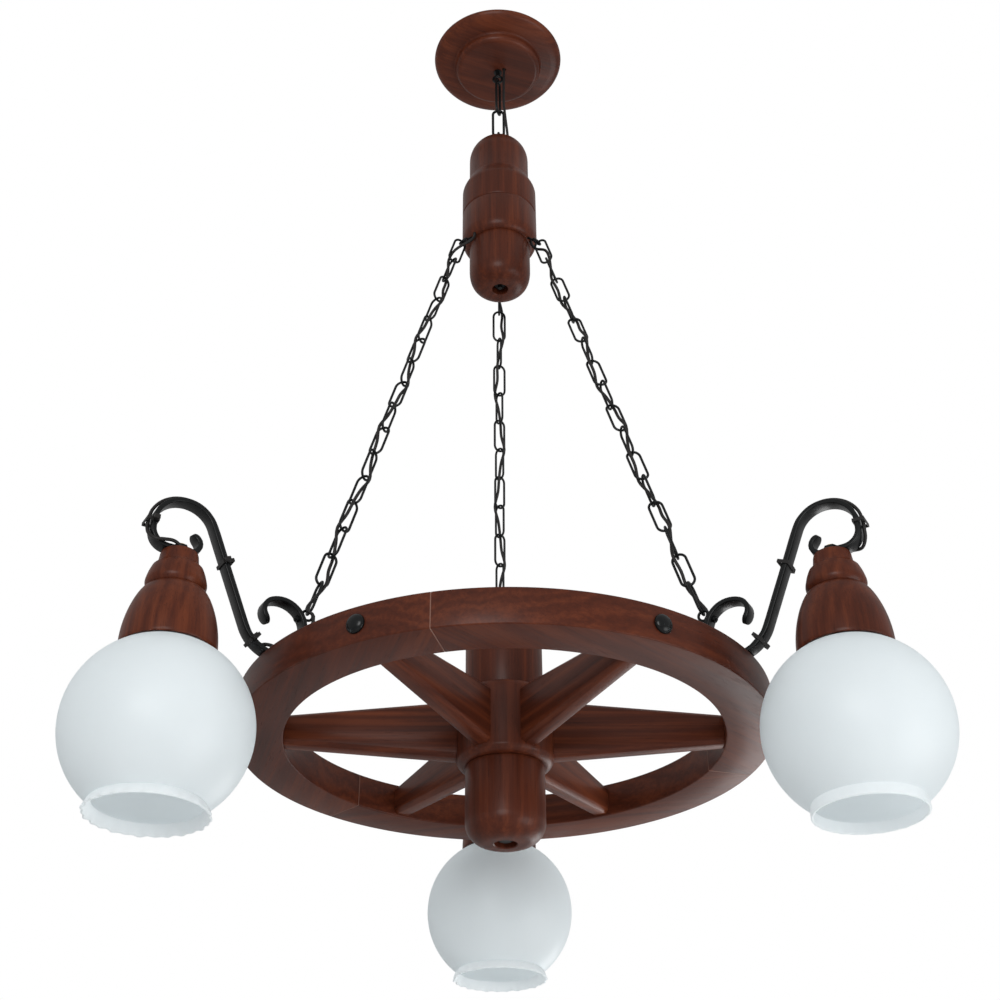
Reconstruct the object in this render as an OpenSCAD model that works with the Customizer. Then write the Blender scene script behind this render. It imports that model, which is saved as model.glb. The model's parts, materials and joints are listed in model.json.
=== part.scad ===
// Wagon wheel chandelier with three lamps, hung from a turned ceiling rose by links and three chains.
// Origin: centre of the ceiling face of the rose, +Z up. All sizes in millimetres.

/* [Ceiling rose] */
// Widest diameter of the turned rose
rose_d = 161; // [150:1:180]
// Height from the ceiling to the flat underside
rose_h = 23; // [22:1:30]
// Diameter of the flat disc on the underside
rose_flat_d = 107; // [100:1:112]
// Thickness of the wooden floor of the rose
rose_floor = 8; // [7:0.5:8]
// Thickness of the wooden side of the rose
rose_wall = 13; // [10:1:14]
// Distance between the two ceiling screw holes of the bracket
bracket_pitch = 104; // [90:1:112]
// Diameter of the ceiling screw holes
bracket_hole_d = 5; // [4:0.5:6]

/* [Eyes and top links] */
// Wire diameter of the two top links and their eyes
wire_d = 3.2; // [2.8:0.1:3.4]
// Outer diameter of the eye under the rose and on the hub
top_eye_d = 14.4; // [14:0.2:18]
// Length of the shank seen between the rose and its eye
top_eye_drop = 6; // [4:1:12]
// Outer length of the upper link
upper_link_l = 62.5; // [50:0.5:70]
// Outer length of the lower link
lower_link_l = 48; // [40:0.5:60]
// Outer width of each of the two top links
top_link_w = 16.5; // [15:0.5:20]

/* [Gathering hub] */
// Diameter of the middle of the gathering hub
gather_d = 86.6; // [82:0.2:96]
// Diameter of its domed cap
cap_d = 70.2; // [62:0.2:72]
// Diameter of its lower drum
drum_d = 69.6; // [62:0.2:72]
// Height of the upper turned piece
crown_h = 126; // [122:1:150]
// Height of the lower turned piece
cup_h = 110; // [104:1:120]
// Diameter of the rod through the hub
rod_d = 5; // [4:0.5:6]

/* [Chains] */
// Number of links in each chain, an even number
chain_links = 16; // [12:2:20]
// Outer length of a chain link
link_l = 39.5; // [36:0.1:44]
// Outer width of a chain link
link_w = 16; // [15:0.5:19]
// Wire diameter of the chain links and of the six eyes they hang in
link_wire_d = 2.6; // [2.2:0.1:2.8]
// Twist of each chain between its ends, in degrees
chain_twist = 40; // [0:5:60]
// Outer diameter of the six eyes that the chains hang in
chain_eye_d = 12.4; // [12:0.2:14]
// Diameter of the electric cables
cable_d = 3.2; // [2.8:0.1:3.4]

/* [Wheel] */
// Outer diameter of the wheel rim
wheel_d = 500; // [470:1:540]
// Radial width of the rim
rim_w = 44.6; // [40:0.2:50]
// Height of the rim
rim_h = 33.4; // [30:0.2:38]
// Diameter of the mortised middle of the wheel hub
nave_d = 91.4; // [84:0.2:96]
// Height of the mortised middle
nave_h = 72; // [66:1:80]
// Diameter of the turned ends of the wheel hub
boss_d = 74; // [66:1:78]
// Length of each turned end
boss_h = 73; // [60:1:90]
// Thickness of a spoke, measured along the rim
spoke_t = 20; // [16:1:24]
// Height of a spoke at the wheel hub
spoke_h_hub = 57; // [50:1:60]
// Height of a spoke at the rim
spoke_h_rim = 29; // [24:1:30]
// Width of the chamfer along the spoke's edges
spoke_chamfer = 4; // [2:0.5:5]
// Diameter of the domed bolt heads on the rim
rim_bolt_d = 17.5; // [14:0.5:20]

/* [Scroll arms] */
// Width of the flat bar
arm_w = 14; // [12:0.5:16]
// Thickness of the flat bar
arm_t = 4.5; // [3.5:0.1:5.5]
// How far the lamp's axis lies outside the rim
lamp_reach = 81; // [78:0.5:84]
// Slope of the rising part of the arm, in degrees
arm_slope = 67; // [64:0.5:70]
// Radius of the arch over the lamp
arch_r = 28; // [26:0.5:30]
// Radius of the small scroll over the rim
scroll_r = 23; // [21:0.5:25]

/* [Lamps] */
// Height of the turned lamp holder
holder_h = 96; // [93:0.5:100]
// Diameter of the mouth of the lamp holder
holder_d = 83; // [80:0.2:90]
// Diameter of the glass globe
globe_d = 159; // [150:1:166]
// Thickness of the glass
glass_t = 2.6; // [2:0.2:3.4]
// Depth of the lip under the globe
lip_h = 9.5; // [8:0.5:14]
// Diameter of the globe's neck above its lip
neck_d = 93.2; // [90:0.2:104]
// Diameter of the hole in the top of the globe
fitter_d = 41; // [40:0.5:43]
// Bore of the lampholder's thread sleeve
lamp_bore_d = 26.6; // [26.6:0.1:27]

/* [Hidden] */
$fn = 64;

// Places round the wheel, in degrees
LEFT = 210;
RIGHT = 330;
REAR = 90;
LAMPS = [LEFT, RIGHT, REAR];
FIRST_JOINT = 15.2;
SPOKES = 6;
FELLOES = 3;

// Colours
WOOD = [0.36, 0.13, 0.07];
IRON = [0.07, 0.07, 0.08];
STEEL = [0.66, 0.66, 0.64];
BRASS = [0.78, 0.62, 0.30];
GLASS = [0.93, 0.94, 0.95];
CABLE = [0.04, 0.04, 0.04];
BAKELITE = [0.10, 0.09, 0.09];
CERAMIC = [0.90, 0.89, 0.85];

// Clearances: between hanging links, and between pieces that are fixed together
link_gap = 0.3;
seat = 0.1;

// Suspension, from the ceiling down: wire centres where one loop hangs in the next
hang = wire_d + link_gap;
top_eye_r = (top_eye_d - wire_d) / 2;
rose_eye_z = -rose_h - top_eye_drop - top_eye_d / 2;
upper_pivot_z = rose_eye_z - top_eye_r;
upper_link_z = upper_pivot_z + hang - (upper_link_l - wire_d) / 2;
lower_pivot_z = upper_link_z - (upper_link_l - wire_d) / 2;
lower_link_z = lower_pivot_z + hang - (lower_link_l - wire_d) / 2;
hub_pivot_z = lower_link_z - (lower_link_l - wire_d) / 2;
hub_eye_z = hub_pivot_z + hang - top_eye_r;

// Gathering hub: depths are measured down from the tip of its dome
collar_h = 1.5;
collar_d = 10;
hub_top_z = hub_eye_z - top_eye_d / 2 - collar_h;
seam_z = hub_top_z - crown_h;
cup_bottom_z = seam_z - cup_h;
cap_r = cap_d / 2;
gather_r = gather_d / 2;
drum_r = drum_d / 2;
shoulder_top = 66;
shoulder_h = 25;
step_drop = 48.5;
step_round_h = 14;
seam_round = 3.5;
step_z = seam_z - step_drop;
drum_round = 30;
chamber_r = gather_r - 9.7;
chamber_up = 36;
chamber_down = 18;
recess_r = 9;
recess_h = 12;
rod_hole_r = rod_d / 2 + seat;
cable_hole_r = cable_d / 2 + 0.4;

// Chains: each runs in its radial plane from an eye leaning out of the hub to an eye on the small scroll
chain_eye_r = (chain_eye_d - link_wire_d) / 2;
link_hang = link_wire_d + link_gap;
link_pitch = link_l - link_wire_d - link_hang;
chain_span = chain_links * link_pitch - link_hang + chain_eye_r;
hub_eye_lean = 45;
gather_eye_drop = 10.3;
gather_eye_r = gather_r + 5.3;
gather_eye_z = step_z - gather_eye_drop;
hub_eye_tail = 24;

// Arm, in the radial plane: x is the distance from the wheel's axis, y is the height over the rim's underside
wheel_r = wheel_d / 2;
rim_in_r = wheel_r - rim_w;
foot_r = wheel_r - 24.5;
foot_y = rim_h + arm_t / 2 + seat;
foot_flat = 6.5;
foot_bend_r = 38;
heel_flat = 6.5;
heel_bend_r = 8;
leg_h = 24.9;
scroll_turn = 115;
scroll_tip_r = 11.5;
scroll_tip_turn = 98;
hook_drop = 7;
hook_r = 15;
hook_out = 12.5;
hook_in = 7.5;
curl_r = 8.5;
tip_l = arm_w / 2 + 0.5;
lamp_r = wheel_r + lamp_reach;
hook_end = hook_out + hook_r;
rise_reach = lamp_r + hook_end - arch_r - foot_r - foot_flat - foot_bend_r * sin(arm_slope)
    - arch_r * sin(arm_slope);
rise_l = rise_reach / cos(arm_slope);
arm_out = [[foot_flat, 0], [foot_bend_r, arm_slope], [rise_l, 0], [arch_r, -90 - arm_slope],
    [hook_drop, 0], [hook_r, -90], [hook_out + hook_in, 0], [curl_r, -135], [tip_l, 0]];
arm_in = [[heel_flat, 0], [heel_bend_r, -90], [leg_h, 0], [scroll_r, -scroll_turn],
    [scroll_tip_r, -scroll_tip_turn], [tip_l, 0]];
foot_out = [foot_r, foot_y, 0];
foot_in = [foot_r, foot_y, 180];
arm_hook = after(foot_out, arm_out, 6);
hook_y = arm_hook[1] - arm_t / 2;

// Eye on the small scroll: it points away from the scroll's centre
scroll_centre = [foot_r - heel_flat - heel_bend_r + scroll_r, foot_y + heel_bend_r + leg_h];
scroll_eye_angle = 149;
scroll_eye_reach = scroll_r + arm_t / 2 + chain_eye_d / 2 + seat;
scroll_eye = scroll_centre + scroll_eye_reach * [cos(scroll_eye_angle), sin(scroll_eye_angle)];
eye_nut_h = 2.4;
eye_nut_d = 6.4;
eye_tail = arm_t + eye_nut_h + 1.5;

// The chain hangs on the outermost wire of its leaning eye: its length and spread set how low the wheel hangs
chain_top_r = gather_eye_r + chain_eye_r * sin(hub_eye_lean);
chain_top_z = gather_eye_z - chain_eye_r * cos(hub_eye_lean);
chain_spread = scroll_eye[0] - chain_top_r;
chain_drop = sqrt(chain_span * chain_span - chain_spread * chain_spread);
chain_tilt = asin(chain_spread / chain_span);
wheel_z = chain_top_z - chain_drop - scroll_eye[1];

// Wheel
nave_r = nave_d / 2;
boss_r = boss_d / 2;
nave_z = wheel_z + rim_h / 2;
spoke_seat = 0.15;
tenon_t = spoke_t - 8;
hub_tenon_h = 36;
rim_tenon_h = 14;
hub_tenon_l = 15;
rim_tenon_l = 12;
tenon_play = 0.1;
edge_round = 2;
hub_bolt_d = 10;
hub_recess_r = 10.5;
hub_recess_h = 14;
hub_nut_d = 18;
hub_nut_h = 8;
hub_washer_h = 1.6;
dowel_d = 8;
dowel_l = 40;
bolt_shank_d = 7;
bolt_shank_l = 46;
bolt_head_h = 5.5;
screw_d = 4;
screw_l = 22;
screw_head_d = 8;
screw_head_h = 2.8;

// Lamp: heights are measured up from the underside of the arm's hook
lamp_z = wheel_z + hook_y;
holder_r = holder_d / 2;
globe_r = globe_d / 2;
globe_gap = 1;
globe_y = -holder_h - sqrt(pow(globe_r + globe_gap, 2) - pow(holder_r - 0.8, 2));
nipple_r = 5;
nipple_bore_r = 3.6;
nut_h = 3;
nut_d = 14;
nipple_top = arm_t + nut_h + 1;
holder_cable_x = 3;
holder_cable_y = 9.7;
pocket_top = -36;
pocket_r = 21.2;
pocket_step = -62;
skirt_room_r = 26;
socket_top = pocket_top - nut_h - 2;
nipple_bottom = socket_top - 6;
socket_r = 19.5;
fitter_r = fitter_d / 2;
flange_r = fitter_r + 3.5;
flange_y = globe_y + sqrt(globe_r * globe_r - fitter_r * fitter_r) + link_gap;
flange_t = 3;
skirt_r = fitter_r - 1.3;
ring_top = globe_y + sqrt(pow(globe_r - glass_t, 2) - flange_r * flange_r) - link_gap;
ring_t = 5;
skirt_bottom = ring_top - ring_t - 2.5;
lamp_bore_r = lamp_bore_d / 2;
sleeve_t = 0.9;
sleeve_l = 27;
sleeve_bottom = skirt_bottom + 1.5;
sleeve_room = sleeve_l + 3;
neck_r = neck_d / 2;
neck_y = globe_y - sqrt(globe_r * globe_r - neck_r * neck_r);
lip_r = neck_r + 3;
lip_y = neck_y - lip_h;

// ---------- Functions ----------

// Points of an arc about a centre, from one angle to another
function arc(cx, cy, r, from, to, steps = 8) =
    [for (i = [0:steps]) let (a = from + (to - from) * i / steps) [cx + r * cos(a), cy + r * sin(a)]];

// State [x, y, heading] of a pen after one step: [length, 0] runs straight, [radius, turn] bends
function step_on(p, s) =
    s[1] == 0
        ? [p[0] + s[0] * cos(p[2]), p[1] + s[0] * sin(p[2]), p[2]]
        : let (side = sign(s[1]), h = p[2] + s[1])
          [p[0] - side * s[0] * (sin(p[2]) - sin(h)), p[1] + side * s[0] * (cos(p[2]) - cos(h)), h];

// State after the first count steps of a stroke
function after(p, stroke, count, i = 0) =
    i >= count ? p : after(step_on(p, stroke[i]), stroke, count, i + 1);

// All states along a stroke, a bend being cut every 12 degrees or so
function trace(p, stroke) =
    [for (i = [0:len(stroke) - 1])
        let (at = after(p, stroke, i), s = stroke[i], cuts = s[1] == 0 ? 1 : ceil(abs(s[1]) / 12))
            for (j = [(i == 0 ? 0 : 1):cuts])
                s[1] == 0 ? step_on(at, [s[0] * j / cuts, 0]) : step_on(at, [s[0], s[1] * j / cuts])];

// The point beside a state, to the left of its heading
function beside(s, d) = [s[0] - d * sin(s[2]), s[1] + d * cos(s[2])];

function backwards(list) = [for (i = [len(list) - 1:-1:0]) list[i]];

// Smooth curve through points, with n spans between each two
function knot(p, i) = p[max(0, min(len(p) - 1, i))];
function curve_point(a, b, c, d, t) =
    0.5 * (2 * b + (c - a) * t + (2 * a - 5 * b + 4 * c - d) * t * t + (3 * b - a - 3 * c + d) * t * t * t);
function curve(p, n) =
    concat([for (i = [0:len(p) - 2]) for (j = [0:n - 1])
        curve_point(knot(p, i - 1), p[i], p[i + 1], knot(p, i + 2), j / n)], [p[len(p) - 1]]);

// Direction of a path at its point i
function unit(v) = v / norm(v);
function heading(path, i) = unit(knot(path, i + 1) - knot(path, i - 1));

// ---------- Shared shapes ----------

// Tube swept along a path that never runs along the Y axis
module cord(path, d, sides = 8) {
    last = len(path) - 1;
    points = [for (i = [0:last])
        let (along = heading(path, i), a = unit(cross(along, [0, 1, 0])), b = cross(a, along))
            for (k = [0:sides - 1]) path[i] + d / 2 * (cos(360 * k / sides) * a + sin(360 * k / sides) * b)];
    walls = [for (i = [0:last - 1]) for (k = [0:sides - 1])
        let (m = i * sides, n = (k + 1) % sides) for (tri = [[m + k, m + sides + k, m + sides + n],
            [m + k, m + sides + n, m + n]]) tri];
    polyhedron(concat(points), concat(walls, [[for (k = [0:sides - 1]) k]],
        [[for (k = [sides - 1:-1:0]) last * sides + k]]), convexity = 10);
}

// Round loop of wire in the XZ plane
module wire_ring(d, wire) {
    rotate([90, 0, 0])
        rotate_extrude()
            translate([(d - wire) / 2, 0]) circle(d = wire);
}

// Long link in the XZ plane, centred, standing along Z
module wire_link(l, w, wire) {
    r = (w - wire) / 2;
    for (up = [0, 1]) mirror([0, 0, up]) {
        translate([0, 0, (l - w) / 2])
            rotate([90, 0, 0])
                rotate_extrude(angle = 180) translate([r, 0]) circle(d = wire);
        for (x = [-r, r]) translate([x, 0, -0.01]) cylinder(d = wire, h = (l - w) / 2 + 0.01);
    }
}

// Hexagonal nut with a round hole, standing on the XY plane
module hex_nut(across, h, hole_r) {
    difference() {
        cylinder(d = across, h = h, $fn = 6);
        translate([0, 0, -1]) cylinder(r = hole_r, h = h + 2);
    }
}

// Round washer standing on the XY plane
module washer(r, h, hole_r) {
    difference() {
        cylinder(r = r, h = h);
        translate([0, 0, -1]) cylinder(r = hole_r, h = h + 2);
    }
}

// Repeats a shape at the three lamps' places
module at_lamps() {
    for (az = LAMPS) rotate([0, 0, az]) children();
}

// ---------- Ceiling rose ----------

bracket_t = 2;
bracket_w = 20;
bracket_drop = 6;
bracket_middle = 46;
bracket_l = bracket_pitch + 16;

module ceiling_bracket() {
    color(STEEL) difference() {
        union() {
            for (side = [-1, 1]) {
                translate([side * (bracket_l + bracket_middle) / 4 - (bracket_l - bracket_middle) / 4,
                    -bracket_w / 2, -bracket_t])
                    cube([(bracket_l - bracket_middle) / 2, bracket_w, bracket_t]);
                translate([side * (bracket_middle / 2 + bracket_t / 2) - bracket_t / 2, -bracket_w / 2,
                    -bracket_drop - bracket_t])
                    cube([bracket_t, bracket_w, bracket_drop + bracket_t]);
            }
            translate([-bracket_middle / 2, -bracket_w / 2, -bracket_drop - bracket_t])
                cube([bracket_middle, bracket_w, bracket_t]);
        }
        for (x = [-1, 1] * bracket_pitch / 2)
            translate([x, 0, -bracket_t - 1]) cylinder(d = bracket_hole_d, h = bracket_t + 2);
        translate([0, 0, -bracket_drop - bracket_t - 1]) cylinder(r = rod_hole_r, h = bracket_t + 2);
    }
}

rose_r = rose_d / 2;
rose_disc_round = 7;
rose_cove_r = 3.5;
rose_rim_depth = 4;
rose_well_r = 48;
rose_cable_x = 8;
rose_cable_y = -4.5;

module canopy_rose() {
    flat_r = rose_flat_d / 2;
    outline = concat(
        [[rod_hole_r, -rose_h]],
        arc(flat_r - rose_disc_round, -rose_h + rose_disc_round, rose_disc_round, -90, -10, 6),
        arc(flat_r + rose_cove_r, -rose_h + rose_disc_round + 1, rose_cove_r, 180, 100, 4),
        [[rose_r - 13, -11.2], [rose_r - 7, -9.6], [rose_r - 3, -7.6], [rose_r - 0.8, -5], [rose_r, -2.8],
            [rose_r - 0.6, -1], [rose_r - 2.5, 0], [rose_r - rose_wall, 0], [rose_r - rose_wall, -rose_rim_depth],
            [rose_well_r, -rose_rim_depth], [rose_well_r, -rose_h + rose_floor],
            [rod_hole_r, -rose_h + rose_floor]]);
    color(WOOD) difference() {
        rotate_extrude() polygon(outline);
        translate([rose_cable_x, rose_cable_y, -rose_h - 1])
            cylinder(r = cable_hole_r + 0.4, h = rose_floor + 2);
    }
}

rose_nut_h = 4;
rose_shank_top = -bracket_drop + rose_nut_h + 1;

module canopy_eye_bolt() {
    color(IRON) union() {
        translate([0, 0, rose_eye_z]) wire_ring(top_eye_d, wire_d);
        translate([0, 0, rose_eye_z + top_eye_r])
            cylinder(d = rod_d, h = rose_shank_top - rose_eye_z - top_eye_r);
        translate([0, 0, -rose_h - collar_h]) cylinder(d = collar_d, h = collar_h);
    }
}

module canopy_nuts() {
    color(STEEL) {
        translate([0, 0, -rose_h + rose_floor]) hex_nut(collar_d, rose_nut_h, rod_hole_r);
        translate([0, 0, -bracket_drop]) hex_nut(collar_d, rose_nut_h, rod_hole_r);
    }
}

block_w = 30;
block_d = 16;
block_h = 11;
block_y = -32;
block_hole_up = 4.4;
block_hole_z = -rose_h + rose_floor + block_hole_up;

module terminal_block() {
    color(CERAMIC) translate([-block_w / 2, block_y - block_d / 2, -rose_h + rose_floor]) difference() {
        cube([block_w, block_d, block_h]);
        for (x = [1, 3, 5] * block_w / 6) {
            translate([x, -1, block_hole_up]) rotate([-90, 0, 0]) cylinder(d = 4, h = block_d + 2);
            translate([x, block_d / 2, block_hole_up]) cylinder(d = 3.4, h = block_h);
        }
    }
}

// Slack two-core cable from the terminal block, down beside the links and into the dome
module supply_cable() {
    drop = hub_top_z;
    route = [
        [block_w / 3, block_y + block_d / 2 - 5, block_hole_z],
        [block_w / 3, block_y + block_d / 2 + 4, block_hole_z],
        [rose_cable_x + 1, rose_cable_y - 7.5, block_hole_z + 0.4],
        [rose_cable_x + 0.2, rose_cable_y - 2.5, block_hole_z - 1.4],
        [rose_cable_x, rose_cable_y - 0.2, -rose_h + rose_floor - 1],
        [rose_cable_x, rose_cable_y, -rose_h + 3],
        [7.4, -4.8, rose_eye_z],
        [6.8, -5.2, lower_pivot_z + 15],
        [7.6, -5.4, lower_pivot_z],
        [9.2, -5.2, hub_pivot_z + 20],
        [10.8, -4, hub_pivot_z + 2],
        [dome_cable_x, dome_cable_y, drop - 4],
        [dome_cable_x, dome_cable_y, drop - 60],
        [dome_cable_x, dome_cable_y, seam_z + chamber_up],
        [12, 2, seam_z + 14],
        [13, 3, wire_block_top + 0.2]
    ];
    color(CABLE) cord(curve(route, 3), cable_d);
}

// ---------- Top links ----------

// The upper link hangs a little turned in its eye
upper_link_turn = 70;

module upper_link() {
    color(IRON) translate([0, 0, upper_link_z]) rotate([0, 0, upper_link_turn])
        wire_link(upper_link_l, top_link_w, wire_d);
}

module lower_link() {
    color(IRON) translate([0, 0, lower_link_z]) wire_link(lower_link_l, top_link_w, wire_d);
}

// ---------- Gathering hub ----------

dome_cable_x = 11.5;
dome_cable_y = -2;

module hub_crown() {
    tip_angle = acos(rod_hole_r / cap_r);
    shoulder = [for (i = [0:6]) let (t = i / 6)
        [cap_r + (gather_r - cap_r) * (1 - cos(180 * t)) / 2, -shoulder_top - shoulder_h * t]];
    outline = concat(
        arc(0, -cap_r, cap_r, tip_angle, 0, 9),
        shoulder,
        arc(gather_r - seam_round, -crown_h + seam_round, seam_round, 0, -90, 4),
        [[chamber_r, -crown_h], [chamber_r, -crown_h + chamber_up],
            [rod_hole_r, -crown_h + chamber_up]]);
    color(WOOD) translate([0, 0, hub_top_z]) difference() {
        rotate_extrude() polygon(outline);
        translate([dome_cable_x, dome_cable_y, -crown_h + chamber_up - 1])
            cylinder(r = cable_hole_r, h = crown_h - chamber_up + 1);
    }
}

// Where a lamp's cable leaves the step under the hub, in its lamp's radial plane: its hole leans
exit_r = drum_r + 3.4;
exit_y = 7;
exit_lean = 10.5;
function in_exit(z) = [exit_r - (z - step_z + 3) * tan(exit_lean), exit_y, z];

module hub_cup() {
    outline = concat(
        [[gather_r - 1, 0], [gather_r, -1]],
        [for (i = [0:6]) let (a = 15 * i)
            [drum_r + (gather_r - drum_r) * cos(a), -step_drop + step_round_h * (1 - sin(a))]],
        [[drum_r, -cup_h + drum_round]],
        [for (i = [1:7]) let (a = 90 * i / 8)
            [recess_r + (drum_r - recess_r) * pow(cos(a), 0.7), -cup_h + drum_round * (1 - pow(sin(a), 0.7))]],
        [[recess_r, -cup_h], [recess_r, -cup_h + recess_h], [rod_hole_r, -cup_h + recess_h],
            [rod_hole_r, -chamber_down], [chamber_r, -chamber_down], [chamber_r, 0]]);
    color(WOOD) translate([0, 0, seam_z]) difference() {
        rotate_extrude() polygon(outline);
        at_lamps() {
            translate([exit_r, exit_y, -step_drop - 3])
                rotate([0, -exit_lean, 0])
                    cylinder(r = cable_hole_r, h = step_drop - chamber_down + 9);
            translate([gather_eye_r, 0, gather_eye_z - seam_z])
                rotate([0, -hub_eye_lean, 0])
                    translate([0, 0, chain_eye_r]) cylinder(r = link_wire_d / 2 + seat, h = hub_eye_tail + seat);
        }
    }
}

hub_nut_across = 13;
cup_nut_h = 5;
cup_washer_h = 1.2;

module hub_eye_rod() {
    bottom = cup_bottom_z + 2;
    color(IRON) union() {
        translate([0, 0, hub_eye_z]) rotate([0, 0, 90]) wire_ring(top_eye_d, wire_d);
        translate([0, 0, hub_top_z]) cylinder(d = collar_d, h = collar_h);
        translate([0, 0, bottom]) cylinder(d = rod_d, h = hub_eye_z - top_eye_r - bottom);
    }
}

module hub_rod_nut() {
    ceiling = cup_bottom_z + recess_h;
    color(IRON) {
        translate([0, 0, ceiling - cup_washer_h]) washer(recess_r - 0.5, cup_washer_h, rod_hole_r);
        translate([0, 0, ceiling - cup_washer_h - cup_nut_h]) hex_nut(hub_nut_across, cup_nut_h, rod_hole_r);
    }
}

wire_block_r = 20;
wire_block_h = 12;
wire_block_top = seam_z - chamber_down + wire_block_h;

module hub_wire_block() {
    color(CERAMIC) translate([0, 0, wire_block_top - wire_block_h]) difference() {
        cylinder(r = wire_block_r, h = wire_block_h);
        translate([0, 0, -1]) cylinder(r = rod_hole_r + 1.5, h = wire_block_h + 2);
    }
}

module hub_screw_eyes() {
    color(IRON) at_lamps() translate([gather_eye_r, 0, gather_eye_z]) rotate([0, -hub_eye_lean, 0]) union() {
        rotate([0, 0, 90]) wire_ring(chain_eye_d, link_wire_d);
        translate([0, 0, chain_eye_r]) cylinder(d = link_wire_d, h = hub_eye_tail);
    }
}

// ---------- Chains and their cables ----------

module chain(az) {
    first = link_hang - (link_l - link_wire_d) / 2;
    color(IRON) rotate([0, 0, az]) translate([chain_top_r, 0, chain_top_z]) rotate([0, -chain_tilt, 0])
        for (i = [0:chain_links - 1])
            translate([0, 0, first - i * link_pitch])
                rotate([0, 0, twist(i) + (i % 2 == 0 ? 0 : 90)]) wire_link(link_l, link_w, link_wire_d);
}

// How far the chain is twisted at its link i: nothing at its ends, most in its middle
function twist(i) = chain_twist * sin(180 * min(1, i / (chain_links - 1)));

// Point of the chain's own frame turned into the lamp's radial plane
function on_chain(x, y, z) =
    [chain_top_r + x * cos(chain_tilt) - z * sin(chain_tilt), y,
        chain_top_z + x * sin(chain_tilt) + z * cos(chain_tilt)];

// The cable winds once round the chain every four links: wide past each joint, narrow through each link
weave_wide = 5.5;
weave_narrow = 2.5;
weave_turn = 45;
function weave() =
    [for (k = [1:2 * chain_links])
        let (a = weave_turn * (k + 1) - twist((k - 1) / 2), r = k % 2 == 0 ? weave_wide : weave_narrow)
            on_chain(r * sin(a), r * cos(a), link_hang / 2 - k * link_pitch / 2)];

// Point of the arm's radial plane, at height y over the rim's underside and t off the plane
function on_arm(x, t, y) = [x, t, wheel_z + y];

// The cable keeps to the upper side of the bar as far as the hook
cable_off = (arm_t + cable_d) / 2 + 0.2;
cable_lift = 0.45;
cable_from = 32;
function along_bar() =
    let (rise_start = after(foot_out, arm_out, 2), arch_start = after(foot_out, arm_out, 3))
        [for (s = concat(
            [for (a = [cable_from, 50, arm_slope]) step_on(after(foot_out, arm_out, 1), [foot_bend_r, a])],
            [for (t = [0.33, 0.67]) step_on(rise_start, [rise_l * t, 0])],
            [arch_start],
            [for (i = [1:7]) step_on(arch_start, [arch_r, -(90 + arm_slope) * i / 7])],
            [after(foot_out, arm_out, 5)]))
            let (p = beside(s, cable_off + cable_lift)) on_arm(p[0], 0, p[1])];

module lamp_cable(az) {
    block_side = wire_block_top - wire_block_h / 2;
    hub_part = curve([
        [wire_block_r + 0.3, 2.5, block_side],
        [wire_block_r + 7, 4.5, block_side + 1],
        in_exit(block_side - 4),
        in_exit(step_z + 4),
        in_exit(step_z - 5),
        [chain_top_r - 8, exit_y + 0.5, chain_top_z + 0.5]], 2);
    foot_part = curve([
        on_arm(scroll_eye[0] - 2.5, 8, scroll_eye[1] - 4),
        on_arm(scroll_eye[0] + 1, 10, scroll_eye[1] - 24),
        on_arm(scroll_eye[0] + 6, 10.5, rim_h + 12),
        on_arm(foot_r - 3, 10.5, rim_h + 3.6),
        on_arm(foot_r + 11, 9.8, rim_h + 5),
        on_arm(foot_r + 15.5, 8, rim_h + 8.8),
        on_arm(foot_r + 20.5, 3.8, rim_h + 11)], 2);
    last_part = curve([
        on_arm(lamp_r + 30.7, 3.6, hook_y + 10),
        on_arm(lamp_r + 25.8, 8.4, hook_y + 4.4),
        on_arm(lamp_r + 18.3, 10, hook_y + 4.8),
        on_arm(lamp_r + 11, holder_cable_y + 0.2, hook_y + 5.8),
        on_arm(lamp_r + 5.6, holder_cable_y, hook_y + 4),
        on_arm(lamp_r + holder_cable_x, holder_cable_y, hook_y - 1.5),
        on_arm(lamp_r + holder_cable_x, holder_cable_y, hook_y + socket_top + 0.2)], 2);
    color(CABLE) rotate([0, 0, az])
        cord(concat(hub_part, weave(), foot_part, along_bar(), last_part), cable_d);
}

// ---------- Wheel ----------

function wheel_joint(i) = FIRST_JOINT + 360 / FELLOES * i;

// The felloes' end faces stand this many degrees apart
felloe_gap = 0.02;

module felloe(i) {
    turn = 360 / FELLOES - felloe_gap;
    color(WOOD) translate([0, 0, wheel_z]) difference() {
        rotate([0, 0, wheel_joint(i)]) rotate_extrude(angle = turn) {
            translate([rim_in_r + edge_round, 0]) square([rim_w - 2 * edge_round, rim_h]);
            translate([rim_in_r, edge_round]) square([rim_w, rim_h - 2 * edge_round]);
            for (x = [rim_in_r + edge_round, wheel_r - edge_round], y = [edge_round, rim_h - edge_round])
                translate([x, y]) circle(r = edge_round);
        }
        for (s = [0:SPOKES - 1]) rotate([0, 0, 360 / SPOKES * s]) rim_mortise();
        for (end = [0, 1]) rotate([0, 0, wheel_joint(i + end)]) dowels(dowel_d / 2 + seat, dowel_l + 1);
        for (s = [0:SPOKES - 1]) rotate([0, 0, 360 / SPOKES * s])
            translate([0, 0, rim_h / 2]) bolt_hole();
        at_lamps() translate([foot_r, 0, rim_h - screw_l + arm_t]) cylinder(r = screw_d / 2 + seat, h = screw_l);
    }
}

// Two dowels that cross the joint at the angle 0
module dowels(r, l) {
    for (z = [0.3, 0.7] * rim_h)
        translate([(wheel_r + rim_in_r) / 2, 0, z]) rotate([90, 0, 0]) cylinder(r = r, h = l, center = true);
}

module felloe_dowels() {
    color(WOOD) translate([0, 0, wheel_z])
        for (i = [0:FELLOES - 1]) rotate([0, 0, wheel_joint(i)]) dowels(dowel_d / 2, dowel_l);
}

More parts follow.
